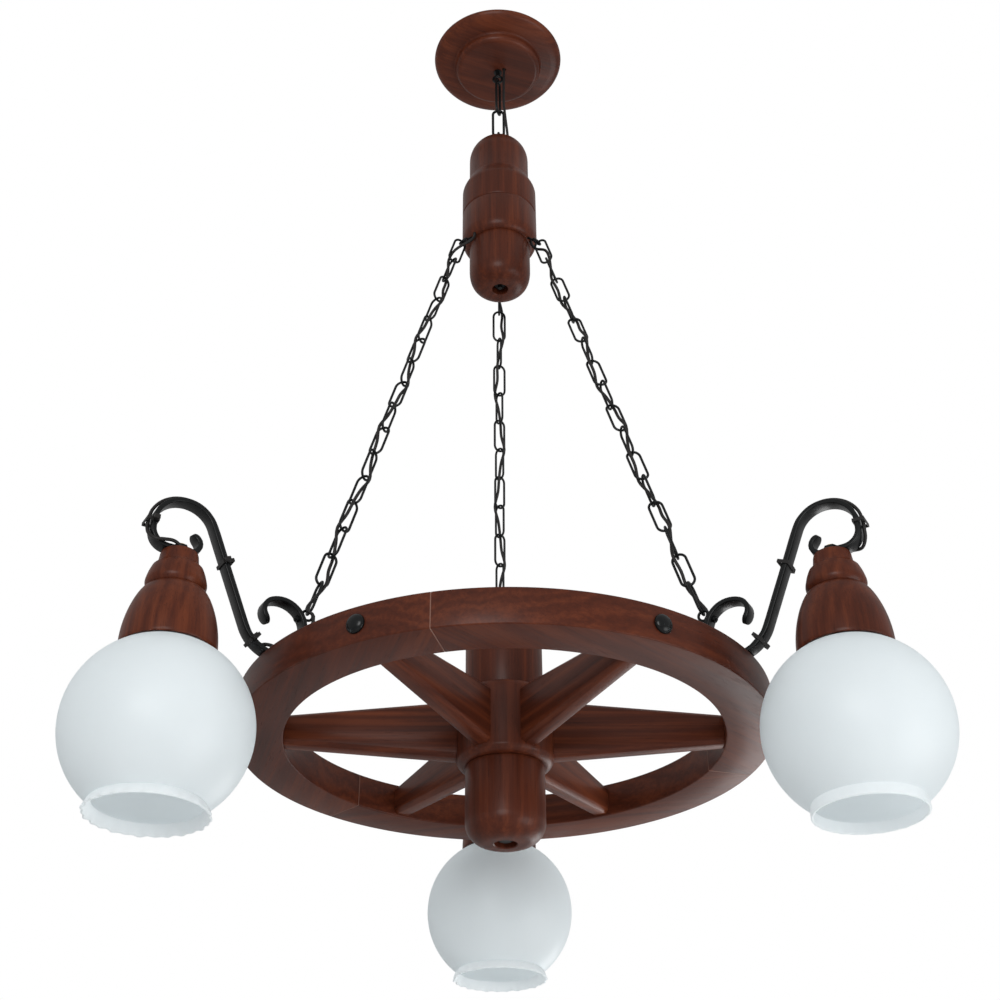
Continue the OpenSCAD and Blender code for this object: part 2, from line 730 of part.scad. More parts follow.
module rim_mortise() {
    l = rim_tenon_l + tenon_play;
    translate([rim_in_r - 1, -tenon_t / 2 - tenon_play, (rim_h - rim_tenon_h) / 2 - tenon_play])
        cube([l + 1, tenon_t + 2 * tenon_play, rim_tenon_h + 2 * tenon_play]);
}

// Hole for the bolt that runs through the rim into the end of a spoke
module bolt_hole() {
    from = wheel_r - bolt_shank_l - seat;
    translate([from, 0, 0]) rotate([0, 90, 0]) cylinder(r = bolt_shank_d / 2 + seat, h = wheel_r + 1 - from);
}

// Cross-section of a spoke with chamfered edges, standing at x
module spoke_section(x, h) {
    c = spoke_chamfer;
    w = spoke_t / 2;
    translate([x, 0, 0]) rotate([90, 0, 90]) linear_extrude(0.01)
        polygon([[c - w, -h / 2], [w - c, -h / 2], [w, c - h / 2], [w, h / 2 - c],
            [w - c, h / 2], [c - w, h / 2], [-w, h / 2 - c], [-w, c - h / 2]]);
}

module spoke(i) {
    hub_face = nave_r + spoke_seat;
    rim_face = rim_in_r - spoke_seat;
    color(WOOD) translate([0, 0, nave_z]) rotate([0, 0, 360 / SPOKES * i]) difference() {
        union() {
            difference() {
                hull() {
                    spoke_section(hub_face - 2, spoke_h_hub);
                    spoke_section(rim_face, spoke_h_rim);
                }
                cylinder(r = hub_face, h = 2 * nave_h, center = true);
                difference() {
                    cylinder(r = rim_face + 9, h = 2 * nave_h, center = true);
                    cylinder(r = rim_face, h = 2 * nave_h + 2, center = true);
                }
            }
            translate([nave_r - hub_tenon_l, -tenon_t / 2, -hub_tenon_h / 2])
                cube([hub_tenon_l + 2, tenon_t, hub_tenon_h]);
            translate([rim_face - 3, -tenon_t / 2, -rim_tenon_h / 2])
                cube([rim_tenon_l + 3, tenon_t, rim_tenon_h]);
        }
        bolt_hole();
    }
}

nave_round = 8;

module wheel_hub() {
    half = nave_h / 2;
    outline = concat(
        [[hub_bolt_d / 2 + seat, -half], [boss_r - 4, -half]],
        arc(nave_r - nave_round, -half + nave_round, nave_round, -90, 0, 5),
        arc(nave_r - nave_round, half - nave_round, nave_round, 0, 90, 5),
        [[boss_r - 4, half], [hub_bolt_d / 2 + seat, half]]);
    color(WOOD) translate([0, 0, nave_z]) difference() {
        rotate_extrude() polygon(outline);
        for (s = [0:SPOKES - 1]) rotate([0, 0, 360 / SPOKES * s])
            translate([nave_r - hub_tenon_l - tenon_play, -tenon_t / 2 - tenon_play,
                -hub_tenon_h / 2 - tenon_play])
                cube([hub_tenon_l + 3, tenon_t + 2 * tenon_play, hub_tenon_h + 2 * tenon_play]);
    }
}

boss_round = 20;

// Turned end of the wheel hub, standing up from the XY plane
module boss() {
    outline = concat(
        [[hub_bolt_d / 2 + seat, 0], [boss_r - 2, 0], [boss_r, 2]],
        arc(boss_r - boss_round, boss_h - boss_round, boss_round, 0, 90, 8),
        [[hub_recess_r, boss_h], [hub_recess_r, boss_h - hub_recess_h],
            [hub_bolt_d / 2 + seat, boss_h - hub_recess_h]]);
    rotate_extrude() polygon(outline);
}

module wheel_hub_top() {
    color(WOOD) translate([0, 0, nave_z + nave_h / 2]) boss();
}

module wheel_hub_foot() {
    color(WOOD) translate([0, 0, nave_z - nave_h / 2]) mirror([0, 0, 1]) boss();
}

// Half length of the bolt: it ends 1.5 mm outside each nut
hub_bolt_reach = nave_h / 2 + boss_h - hub_recess_h + hub_washer_h + hub_nut_h + 1.5;

module wheel_hub_bolt() {
    color(IRON) translate([0, 0, nave_z]) cylinder(d = hub_bolt_d, h = 2 * hub_bolt_reach, center = true);
}

module wheel_hub_nuts() {
    base = nave_h / 2 + boss_h - hub_recess_h;
    color(IRON) translate([0, 0, nave_z]) for (up = [0, 1]) mirror([0, 0, up]) {
        translate([0, 0, base]) washer(hub_recess_r - 0.4, hub_washer_h, hub_bolt_d / 2 + seat);
        translate([0, 0, base + hub_washer_h]) hex_nut(hub_nut_d, hub_nut_h, hub_bolt_d / 2 + seat);
    }
}

// Domed head and shank, standing on the XY plane
module domed_bolt(head_d, head_h, shank_d, shank_l) {
    ball_r = (pow(head_d / 2, 2) + head_h * head_h) / (2 * head_h);
    tip = asin(head_d / 2 / ball_r);
    rotate_extrude() polygon(concat([[0, -shank_l], [shank_d / 2, -shank_l], [shank_d / 2, 0]],
        arc(0, head_h - ball_r, ball_r, 90 - tip, 90, 5)));
}

module rim_bolts() {
    color(IRON) translate([0, 0, wheel_z + rim_h / 2])
        for (s = [0:SPOKES - 1]) rotate([0, 0, 360 / SPOKES * s]) translate([wheel_r, 0, 0])
            rotate([0, 90, 0]) domed_bolt(rim_bolt_d, bolt_head_h, bolt_shank_d, bolt_shank_l);
}

// ---------- Scroll arms ----------

// What is cut from the end of the bar to round it, from a state on along its heading
module bar_end_cut(s) {
    r = arm_w / 2 + 0.2;
    translate([s[0], s[1], 0]) rotate([0, 0, s[2]]) rotate([90, 0, 0])
        linear_extrude(arm_t + 1, center = true)
            polygon(concat(arc(0, 0, r, -90, 90, 10), [[tip_l + 0.5, r], [tip_l + 0.5, -r]]));
}

// Hole through the bar at a state of its path
module bar_hole(s, r) {
    translate([s[0], s[1], 0]) rotate([0, 0, s[2]]) rotate([90, 0, 0])
        cylinder(r = r, h = arm_t + 4, center = true);
}

module arm(az) {
    inner = trace(foot_in, arm_in);
    outer = trace(foot_out, arm_out);
    path = concat([for (s = backwards(inner)) [s[0], s[1], s[2] + 180]], [for (i = [1:len(outer) - 1]) outer[i]]);
    eye_state = [scroll_centre[0] + scroll_r * cos(scroll_eye_angle),
        scroll_centre[1] + scroll_r * sin(scroll_eye_angle), scroll_eye_angle - 90];
    color(IRON) rotate([0, 0, az]) translate([0, 0, wheel_z]) rotate([90, 0, 0]) difference() {
        translate([0, 0, -arm_w / 2]) linear_extrude(arm_w)
            polygon(concat([for (s = path) beside(s, arm_t / 2)],
                backwards([for (s = path) beside(s, -arm_t / 2)])));
        bar_end_cut(after(foot_in, arm_in, len(arm_in) - 1));
        bar_end_cut(after(foot_out, arm_out, len(arm_out) - 1));
        bar_hole(foot_out, screw_d / 2 + seat);
        bar_hole(eye_state, link_wire_d / 2 + seat);
        bar_hole([lamp_r, hook_y + arm_t / 2, 0], nipple_r + seat);
    }
}

module arm_screws() {
    color(IRON) at_lamps() translate([foot_r, 0, wheel_z + foot_y + arm_t / 2])
        domed_bolt(screw_head_d, screw_head_h, screw_d, screw_l);
}

module at_scroll_eyes() {
    at_lamps() translate([scroll_eye[0], 0, wheel_z + scroll_eye[1]])
        rotate([0, 270 - scroll_eye_angle, 0]) children();
}

module arm_eye_bolts() {
    color(IRON) at_scroll_eyes() union() {
        wire_ring(chain_eye_d, link_wire_d);
        translate([0, 0, chain_eye_r]) cylinder(d = link_wire_d, h = link_wire_d / 2 + seat + eye_tail);
    }
}

module arm_eye_nuts() {
    color(IRON) at_scroll_eyes() translate([0, 0, chain_eye_d / 2 + arm_t + 5 * seat])
        hex_nut(eye_nut_d, eye_nut_h, link_wire_d / 2 + seat);
}

tie_w = 3.2;
tie_t = 0.9;
tie_head = [4.2, 4.6, 5];

// Strap round the bar and its cable, at a state of the arm's path
module cable_tie(s) {
    play = 0.35;
    low = -arm_t / 2 - play;
    high = cable_off + cable_lift + cable_d / 2 + play + seat;
    half = arm_w / 2 + play;
    translate([s[0], 0, s[1]]) rotate([0, -s[2], 0]) {
        difference() {
            translate([-tie_w / 2, -half - tie_t, low - tie_t])
                cube([tie_w, 2 * (half + tie_t), high - low + 2 * tie_t]);
            translate([-tie_w, -half, low]) cube([2 * tie_w, 2 * half, high - low]);
        }
        translate([-tie_head[0] / 2, half + tie_t - 0.01, low]) cube(tie_head);
    }
}

module cable_ties() {
    low = step_on(after(foot_out, arm_out, 1), [foot_bend_r, 44]);
    middle = step_on(after(foot_out, arm_out, 2), [rise_l * 0.62, 0]);
    high = after(foot_out, arm_out, 4);
    color(CABLE) at_lamps() translate([0, 0, wheel_z]) {
        cable_tie(low);
        cable_tie(middle);
        cable_tie(high);
    }
}

// ---------- Lamps ----------

// Moves a lamp's pieces from its own frame to its place under the hook of the arm
module lamp(az) {
    rotate([0, 0, az]) translate([lamp_r, 0, lamp_z]) children();
}

holder_top_r = 15.5;
collar_r = 26.6;
waist_r = 24.8;
waist_y = -38;
bell_h = 54;

module holder(az) {
    bell = [for (i = [0:8]) let (t = pow(i / 8, 1.5))
        [waist_r + (holder_r - waist_r) * pow(sin(90 * t), 0.65), waist_y - bell_h * t]];
    outline = concat(
        [[nipple_r + seat, 0], [holder_top_r - 1, 0], [holder_top_r + 1, -2], [holder_top_r + 2, -8],
            [holder_top_r + 4, -13], [holder_top_r + 7.4, -18.5], [collar_r - 1.6, -22.5],
            [collar_r - 0.4, -26], [collar_r, -29.5], [collar_r - 0.5, -33], [collar_r - 1.8, -36],
            [waist_r - 0.9, waist_y + 0.6]],
        bell,
        [[holder_r, -holder_h + 2.5], [holder_r - 0.8, -holder_h], [skirt_room_r, -holder_h],
            [skirt_room_r, pocket_step], [pocket_r, pocket_step], [pocket_r, pocket_top],
            [nipple_r + seat, pocket_top]]);
    color(WOOD) lamp(az) difference() {
        rotate_extrude() difference() {
            polygon(outline);
            translate([0, globe_y]) circle(r = globe_r + globe_gap, $fn = 128);
        }
        translate([holder_cable_x, holder_cable_y, pocket_top - 1]) cylinder(r = cable_hole_r, h = 2 - pocket_top);
    }
}

module lamp_nipples() {
    color(BRASS) for (az = LAMPS) lamp(az) translate([0, 0, nipple_bottom]) difference() {
        cylinder(r = nipple_r, h = nipple_top - nipple_bottom);
        translate([0, 0, -1]) cylinder(r = nipple_bore_r, h = nipple_top - nipple_bottom + 2);
    }
}

module nipple_nuts() {
    color(IRON) for (az = LAMPS) lamp(az) {
        translate([0, 0, arm_t]) hex_nut(nut_d, nut_h, nipple_r + seat);
        translate([0, 0, pocket_top - nut_h]) hex_nut(nut_d, nut_h, nipple_r + seat);
    }
}

module socket(az) {
    sleeve_r = lamp_bore_r + sleeve_t + seat;
    outline = [
        [nipple_r + seat, socket_top], [socket_r - 4, socket_top], [socket_r, socket_top - 4],
        [socket_r, flange_y + flange_t], [flange_r, flange_y + flange_t], [flange_r, flange_y],
        [skirt_r, flange_y], [skirt_r, skirt_bottom], [sleeve_r, skirt_bottom],
        [sleeve_r, sleeve_bottom + sleeve_room], [nipple_r + seat, sleeve_bottom + sleeve_room]];
    color(BAKELITE) lamp(az) rotate_extrude() polygon(outline);
}

// Brass thread sleeve with its closed contact end
module lamp_sleeves() {
    r = lamp_bore_r + sleeve_t;
    color(BRASS) for (az = LAMPS) lamp(az) translate([0, 0, sleeve_bottom]) difference() {
        cylinder(r = r, h = sleeve_l + 1.5);
        translate([0, 0, -1]) cylinder(r = lamp_bore_r, h = sleeve_l + 1);
    }
}

module shade_rings() {
    color(BAKELITE) for (az = LAMPS) lamp(az) translate([0, 0, ring_top - ring_t])
        washer(flange_r, ring_t, skirt_r + seat);
}

module glass(az) {
    inner_r = globe_r - glass_t;
    top = acos(fitter_r / globe_r);
    bottom = -acos(neck_r / globe_r);
    top_in = acos(fitter_r / inner_r);
    bottom_in = -acos((neck_r - glass_t) / inner_r);
    steps = 24;
    outline = concat(
        arc(0, globe_y, globe_r, top, bottom, steps),
        [[lip_r - 0.8, neck_y - 3], [lip_r, lip_y + lip_h / 2], [lip_r, lip_y + 1], [lip_r - 1, lip_y],
            [lip_r - glass_t, lip_y], [lip_r - glass_t - 0.6, lip_y + lip_h / 2]],
        arc(0, globe_y, inner_r, bottom_in, top_in, steps));
    color(GLASS) lamp(az) rotate_extrude($fn = 96) polygon(outline);
}

// ---------- The part ----------

ceiling_bracket();
canopy_rose();
canopy_eye_bolt();
canopy_nuts();
terminal_block();
supply_cable();
upper_link();
lower_link();
hub_crown();
hub_cup();
hub_eye_rod();
hub_rod_nut();
hub_wire_block();
hub_screw_eyes();
chain(LEFT);  // chain_left
chain(RIGHT);  // chain_right
chain(REAR);  // chain_rear
lamp_cable(LEFT);  // lamp_cable_left
lamp_cable(RIGHT);  // lamp_cable_right
lamp_cable(REAR);  // lamp_cable_rear
felloe(0);  // felloe_1
felloe(1);  // felloe_2
felloe(2);  // felloe_3
felloe_dowels();
spoke(0);  // spoke_1
spoke(1);  // spoke_2
spoke(2);  // spoke_3
spoke(3);  // spoke_4
spoke(4);  // spoke_5
spoke(5);  // spoke_6
wheel_hub();
wheel_hub_top();
wheel_hub_foot();
wheel_hub_bolt();
wheel_hub_nuts();
rim_bolts();
arm(LEFT);  // arm_left
arm(RIGHT);  // arm_right
arm(REAR);  // arm_rear
arm_screws();
arm_eye_bolts();
arm_eye_nuts();
cable_ties();
holder(LEFT);  // holder_left
holder(RIGHT);  // holder_right
holder(REAR);  // holder_rear
lamp_nipples();
nipple_nuts();
socket(LEFT);  // socket_left
socket(RIGHT);  // socket_right
socket(REAR);  // socket_rear
lamp_sleeves();
shade_rings();
glass(LEFT);  // glass_left
glass(RIGHT);  // glass_right
glass(REAR);  // glass_rear
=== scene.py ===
"""Looks of a wagon wheel chandelier: turned wood, wrought iron scroll arms, chains with woven cables, opal globes."""
import json
import math

import bmesh
import bpy
from mathutils import Matrix, Vector


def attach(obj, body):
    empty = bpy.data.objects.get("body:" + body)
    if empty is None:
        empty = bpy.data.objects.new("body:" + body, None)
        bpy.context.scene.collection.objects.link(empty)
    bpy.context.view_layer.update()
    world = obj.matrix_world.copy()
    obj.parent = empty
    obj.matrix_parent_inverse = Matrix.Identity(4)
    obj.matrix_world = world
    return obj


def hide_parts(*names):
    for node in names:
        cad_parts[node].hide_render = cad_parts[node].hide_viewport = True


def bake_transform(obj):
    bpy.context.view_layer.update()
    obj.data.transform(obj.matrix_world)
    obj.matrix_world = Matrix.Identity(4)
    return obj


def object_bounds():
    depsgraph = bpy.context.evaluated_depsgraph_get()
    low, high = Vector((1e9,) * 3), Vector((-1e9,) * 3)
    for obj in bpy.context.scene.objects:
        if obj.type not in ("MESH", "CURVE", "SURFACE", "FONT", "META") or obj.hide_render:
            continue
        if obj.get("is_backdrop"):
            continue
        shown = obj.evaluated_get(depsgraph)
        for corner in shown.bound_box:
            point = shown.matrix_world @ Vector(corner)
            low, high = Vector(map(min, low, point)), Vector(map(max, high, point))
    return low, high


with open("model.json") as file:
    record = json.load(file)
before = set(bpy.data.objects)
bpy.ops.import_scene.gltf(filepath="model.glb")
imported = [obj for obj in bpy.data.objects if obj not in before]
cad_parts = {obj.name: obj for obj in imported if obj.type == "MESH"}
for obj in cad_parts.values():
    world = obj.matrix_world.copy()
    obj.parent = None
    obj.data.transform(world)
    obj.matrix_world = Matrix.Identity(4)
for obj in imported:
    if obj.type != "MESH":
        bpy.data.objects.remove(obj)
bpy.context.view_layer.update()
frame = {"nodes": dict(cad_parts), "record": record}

MM = 0.001


# ---------- Shader maths ----------

def join(tree, given, socket):
    """Feeds a socket with a link or with a plain value."""
    if isinstance(given, Field):
        tree.links.new(given.socket, socket)
    else:
        socket.default_value = given


class Field:
    """A value that varies over a surface; arithmetic on it adds Math nodes."""

    def __init__(self, tree, socket):
        self.tree, self.socket = tree, socket

    @staticmethod
    def calc(tree, operation, *given, clamp=False):
        """Adds one Math node."""
        node = tree.nodes.new("ShaderNodeMath")
        node.operation = operation
        node.use_clamp = clamp
        for value, socket in zip(given, node.inputs):
            join(tree, value, socket)
        return Field(tree, node.outputs[0])

    def __add__(self, other):
        return Field.calc(self.tree, "ADD", self, other)

    def __sub__(self, other):
        return Field.calc(self.tree, "SUBTRACT", self, other)

    def __rsub__(self, other):
        return Field.calc(self.tree, "SUBTRACT", other, self)

    def __mul__(self, other):
        return Field.calc(self.tree, "MULTIPLY", self, other)

    def __truediv__(self, other):
        return Field.calc(self.tree, "DIVIDE", self, other)

    __radd__, __rmul__ = __add__, __mul__

    def above(self, low, high):
        """0 below low, 1 above high, smooth between."""
        node = self.tree.nodes.new("ShaderNodeMapRange")
        node.interpolation_type = "SMOOTHSTEP"
        node.inputs["From Min"].default_value = low
        node.inputs["From Max"].default_value = high
        join(self.tree, self, node.inputs["Value"])
        return Field(self.tree, node.outputs[0])


class Graph:
    """Short calls that add nodes to self.tree."""

    def node(self, kind, output=0, settings=None, **sockets):
        """Adds a node: its settings first, then the values or links of its sockets, by name or by number as in i0."""
        node = self.tree.nodes.new(kind)
        for name, value in (settings or {}).items():
            setattr(node, name, value)
        for name, given in sockets.items():
            key = int(name[1:]) if name[0] == "i" and name[1:].isdigit() else name.replace("_", " ")
            join(self.tree, given, node.inputs[key])
        return Field(self.tree, node.outputs[output])

    def calc(self, operation, *given, clamp=False):
        return Field.calc(self.tree, operation, *given, clamp=clamp)

    def vector(self, x=0.0, y=0.0, z=0.0):
        return self.node("ShaderNodeCombineXYZ", X=x, Y=y, Z=z)

    def vector_maths(self, operation, **sockets):
        return self.node("ShaderNodeVectorMath", settings={"operation": operation}, **sockets)

    def parts(self, vector):
        """The three numbers of a vector."""
        node = self.tree.nodes.new("ShaderNodeSeparateXYZ")
        join(self.tree, vector, node.inputs[0])
        return [Field(self.tree, output) for output in node.outputs]


class Finish(Graph):
    """A material with one Principled shader and short calls for the nodes that feed it."""

    def __init__(self, name, **fixed):
        self.material = bpy.data.materials.new(name)
        self.material.use_nodes = True
        self.tree = self.material.node_tree
        self.shader = self.tree.nodes["Principled BSDF"]
        self.set(**fixed)

    def set(self, **sockets):
        for name, given in sockets.items():
            join(self.tree, given, self.shader.inputs[name.replace("_", " ")])

    def place(self, turn=(0, 0, 0), shift=(0, 0, 0)):
        """Object coordinates, shifted and then turned."""
        here = self.node("ShaderNodeTexCoord", output="Object")
        return self.node("ShaderNodeMapping", Vector=self.vector_maths("ADD", i0=here, i1=shift), Rotation=turn)

    def noise(self, vector, scale, detail=3.0, roughness=0.5):
        return self.node("ShaderNodeTexNoise", Vector=vector, Scale=scale, Detail=detail, Roughness=roughness)

    def ramp(self, value, stops):
        """A colour ramp with stops of (place, colour)."""
        node = self.tree.nodes.new("ShaderNodeValToRGB")
        elements = node.color_ramp.elements
        while len(elements) < len(stops):
            elements.new(0.5)
        for element, (place, colour) in zip(elements, stops):
            element.position, element.color = place, (*colour, 1)
        join(self.tree, value, node.inputs["Fac"])
        return Field(self.tree, node.outputs[0])

    def mix(self, share, one, other):
        """Mixes two colours."""
        node = self.tree.nodes.new("ShaderNodeMix")
        node.data_type = "RGBA"
        for socket, given in zip((node.inputs[0], node.inputs[6], node.inputs[7]), (share, one, other)):
            join(self.tree, (*given, 1) if isinstance(given, tuple) else given, socket)
        return Field(self.tree, node.outputs[2])

    def bump(self, height, strength, distance):
        self.set(Normal=self.node("ShaderNodeBump", Height=height, Strength=strength, Distance=distance))


# ---------- Finishes ----------

STAIN_DARK, STAIN_MIDDLE, STAIN_LIGHT = (0.017, 0.0042, 0.0024), (0.070, 0.0150, 0.0062), (0.165, 0.039, 0.0135)
STAIN_PORE = (0.018, 0.006, 0.004)
IRON_BLACK, IRON_WORN = (0.0036, 0.0042, 0.0045), (0.010, 0.0115, 0.0117)
GLASS_THICK, GLASS_THIN, GLASS_MILK = (0.83, 0.875, 0.89), (0.91, 0.94, 0.95), (0.95, 0.975, 0.985, 1)


def stained_wood(name, grain, warmth=0.5, figure=1.0):
    """Red-brown stain under a satin lacquer.

    grain(finish) gives coordinates in metres whose Z runs along the grain. warmth lifts the tone, figure the streaks.
    """
    wood = Finish(name, Coat_Roughness=0.24, Specular_IOR_Level=0.12)
    # across and along the grain, noise is scaled in features per metre and the rings in radians per metre
    x, y, z = wood.parts(grain(wood))
    blotch = wood.noise(wood.vector(x * 9, y * 9, z * 3.5), 1.0, 2.0)
    wander = wood.noise(wood.vector(x * 22, y * 22, z * 2.2), 1.0, 3.0)
    rings = wood.calc("SINE", x * 420 + wander * 26 + y * 130)
    streak = wood.noise(wood.vector(x * 330, y * 330, z * 7), 1.0, 4.0, 0.6)
    pore = wood.noise(wood.vector(x * 1500, y * 1500, z * 55), 1.0, 1.0).above(0.63, 0.74)
    tone = blotch * 0.62 + rings * (0.055 * figure) + streak * (0.42 * figure) + (warmth - 0.52)
    colour = wood.ramp(tone, [(0.16, STAIN_DARK), (0.5, STAIN_MIDDLE), (0.86, STAIN_LIGHT)])
    wood.set(Base_Color=wood.mix(pore * 0.45, colour, STAIN_PORE))
    wood.set(Roughness=0.4 + streak * 0.12 + pore * 0.12, Coat_Weight=0.13 - pore * 0.09)
    wood.bump(streak * 0.4 - pore, 0.35, 0.00025)
    return wood.material


def iron(name, hammered, roughness=0.34):
    """Black paint on iron: hammered is the depth of its dents, and worn places are paler and less glossy."""
    paint = Finish(name, Specular_IOR_Level=0.18, Coat_Roughness=0.2)
    here = paint.place()
    dents = paint.noise(here, 120.0, 2.0)
    fine = paint.noise(here, 900.0, 3.0)
    worn = paint.noise(here, 45.0, 4.0).above(0.56, 0.75)
    paint.set(Base_Color=paint.mix(worn * 0.5 + fine * 0.2, IRON_BLACK, IRON_WORN))
    paint.set(Roughness=roughness + worn * 0.16 + fine * 0.08, Coat_Weight=0.11 - worn * 0.09)
    paint.bump(dents * hammered + fine * 0.12, 0.5, 0.0006)
    return paint.material


def plain(name, colour, other, grain, roughness, bump=0.15, metal=0.0, specular=0.5):
    """A small part's finish: two close tones in a fine noise."""
    paint = Finish(name, Metallic=metal, Specular_IOR_Level=specular)
    here = paint.place()
    speck = paint.noise(here, grain, 4.0)
    cloud = paint.noise(here, grain / 9, 3.0)
    paint.set(Base_Color=paint.mix(cloud * 0.7 + speck * 0.3, colour, other))
    paint.set(Roughness=roughness - 0.06 + speck * 0.08 + cloud * 0.06)
    paint.bump(speck, bump, 0.0003)
    return paint.material


def opal_glass():
    """White cased glass: a satin skin, light that comes through, and faint upright streaks of thicker glass."""
    glass = Finish("opal_glass", Specular_IOR_Level=0.45, Coat_Roughness=0.22, Coat_Weight=0.15)
    here = glass.place()
    x, y, z = glass.parts(here)
    cloud = glass.noise(here, 16.0, 3.0)
    mist = glass.noise(here, 260.0, 3.0)
    streak = glass.noise(glass.vector(x * 70, y * 70, z * 5), 1.0, 2.0)
    glass.set(Base_Color=glass.mix(cloud * 0.5 + mist * 0.15 + streak * 0.25, GLASS_THICK, GLASS_THIN))
    glass.set(Roughness=0.36 + cloud * 0.1 + mist * 0.06)
    glass.bump(mist, 0.06, 0.0003)
    milky = glass.node("ShaderNodeBsdfTranslucent", Color=GLASS_MILK)
    both = glass.node("ShaderNodeMixShader", i0=0.5, i1=Field(glass.tree, glass.shader.outputs[0]), i2=milky)
    join(glass.tree, both, glass.tree.nodes["Material Output"].inputs["Surface"])
    return glass.material


# ---------- Mesh making; lengths in millimetres ----------

SHARP = 38


def form(name, points, faces, *materials, sharp=SHARP, end_faces=()):
    """A closed mesh, smooth but for edges sharper than an angle in degrees. end_faces take the second material."""
    mesh = bpy.data.meshes.new(name)
    mesh.from_pydata([Vector(p) * MM for p in points], [], faces)
    for index in end_faces:
        mesh.polygons[index].material_index = 1
    work = bmesh.new()
    work.from_mesh(mesh)
    bmesh.ops.remove_doubles(work, verts=work.verts, dist=1e-6)
    bmesh.ops.recalc_face_normals(work, faces=work.faces)
    work.to_mesh(mesh)
    work.free()
    mesh.shade_smooth()
    mesh.set_sharp_from_angle(angle=math.radians(sharp))
    for material in materials:
        mesh.materials.append(material)
    piece = bpy.data.objects.new(name, mesh)
    bpy.context.scene.collection.objects.link(piece)
    return piece


def skin(rows, closed):
    """Points and faces over rows that are loops of as many points each; open ends are capped."""
    wide, last = len(rows[0]), len(rows)
    faces = []
    for i in range(last if closed else last - 1):
        here, there = i * wide, (i + 1) % last * wide
        for k in range(wide):
            n = (k + 1) % wide
            faces.append((here + k, here + n, there + n, there + k))
    if not closed:
        faces.append(tuple(range(wide)))
        faces.append(tuple((last - 1) * wide + k for k in range(wide)))
    return [p for row in rows for p in row], faces


def arc(cx, cy, r, start, end, steps=10):
    """Points of an arc about a centre, from one angle to another in degrees."""
    turns = [math.radians(start + (end - start) * i / steps) for i in range(steps + 1)]
    return [(cx + r * math.cos(a), cy + r * math.sin(a)) for a in turns]


def rounded(corners, steps=4):
    """Closed outline of (x, y, radius) corners; a corner without a radius stays as it is."""
    made = []
    for i, corner in enumerate(corners):
        here = Vector(corner[:2])
        r = corner[2] if len(corner) > 2 else 0
        if not r:
            made.append(tuple(here))
            continue
        back = (Vector(corners[i - 1][:2]) - here).normalized()
        on = (Vector(corners[(i + 1) % len(corners)][:2]) - here).normalized()
        half = back.angle(on) / 2
        centre = here + (back + on).normalized() * (r / math.sin(half))
        first = here + back * (r / math.tan(half)) - centre
        last = here + on * (r / math.tan(half)) - centre
        start = math.atan2(first.y, first.x)
        turn = (math.atan2(last.y, last.x) - start + math.pi) % (2 * math.pi) - math.pi
        for k in range(steps + 1):
            a = start + turn * k / steps
            made.append((centre.x + r * math.cos(a), centre.y + r * math.sin(a)))
    return made


def turned(name, outline, material, centre=(0, 0, 0), steps=96):
    """A piece from the lathe: a closed outline of (radius, height), turned about an upright axis."""
    cx, cy, cz = centre
    turns = [2 * math.pi * k / steps for k in range(steps)]
    rows = [[(cx + r * math.cos(a), cy + r * math.sin(a), cz + z) for a in turns] for r, z in outline]
    return form(name, *skin(rows, True), material)


def drilled(piece, holes, radius):
    """Cuts round holes, each from one point to another, and gives the piece as a plain mesh again."""
    for start, end in holes:
        start, end = Vector(start), Vector(end)
        bit = tube("bit", [start, (start + end) / 2, end], 2 * radius, piece.data.materials[0], 24)
        cut = piece.modifiers.new("hole", "BOOLEAN")
        cut.operation, cut.object, cut.solver = "DIFFERENCE", bit, "EXACT"
        made = bpy.data.meshes.new_from_object(piece.evaluated_get(bpy.context.evaluated_depsgraph_get()))
        piece.modifiers.clear()
        piece.data = made
        bpy.data.objects.remove(bit)
    piece.data.shade_smooth()
    piece.data.set_sharp_from_angle(angle=math.radians(SHARP))
    return piece


def at(azimuth, out, aside, up):
    """A point by its distance out from the axis, aside and up, in the plane of an azimuth in degrees."""
    a = math.radians(azimuth)
    return (out * math.cos(a) - aside * math.sin(a), out * math.sin(a) + aside * math.cos(a), up)


def smooth_path(points, spans):
    """A smooth curve through points, each stretch cut into spans."""
    made = []
    for i in range(len(points) - 1):
        a, b, c, d = (Vector(points[max(0, min(len(points) - 1, j))]) for j in (i - 1, i, i + 1, i + 2))
        for k in range(spans):
            t = k / spans
            made.append(0.5 * (2 * b + (c - a) * t + (2 * a - 5 * b + 4 * c - d) * t * t
                               + (3 * b - a - 3 * c + d) * t * t * t))
    return made + [Vector(points[-1])]


def smooth_outline(points, spans):
    """A smooth curve through flat points, as pairs."""
    return [tuple(p[:2]) for p in smooth_path([(*point, 0) for point in points], spans)]


def tube(name, path, diameter, material, sides=12):
    """A round cable along a path, with its section carried along without twist."""
    path = [Vector(p) for p in path]
    along = [(path[min(i + 1, len(path) - 1)] - path[max(i - 1, 0)]).normalized() for i in range(len(path))]
    side = along[0].orthogonal().normalized()
    rows = []
    for here, way in zip(path, along):
        side = (side - way * side.dot(way)).normalized()
        other = way.cross(side)
        turns = [2 * math.pi * k / sides for k in range(sides)]
        rows.append([here + diameter / 2 * (math.cos(a) * side + math.sin(a) * other) for a in turns])
    return form(name, *skin(rows, False), material)


# ---------- Sizes, as in the part's source, in millimetres ----------

# Azimuths of the lamps and of the rim's first joint, in degrees
LAMPS = {"left": 210, "right": 330, "rear": 90}
FIRST_JOINT, FELLOES, SPOKES = 15.2, 3, 6
THIRD = 360 / FELLOES
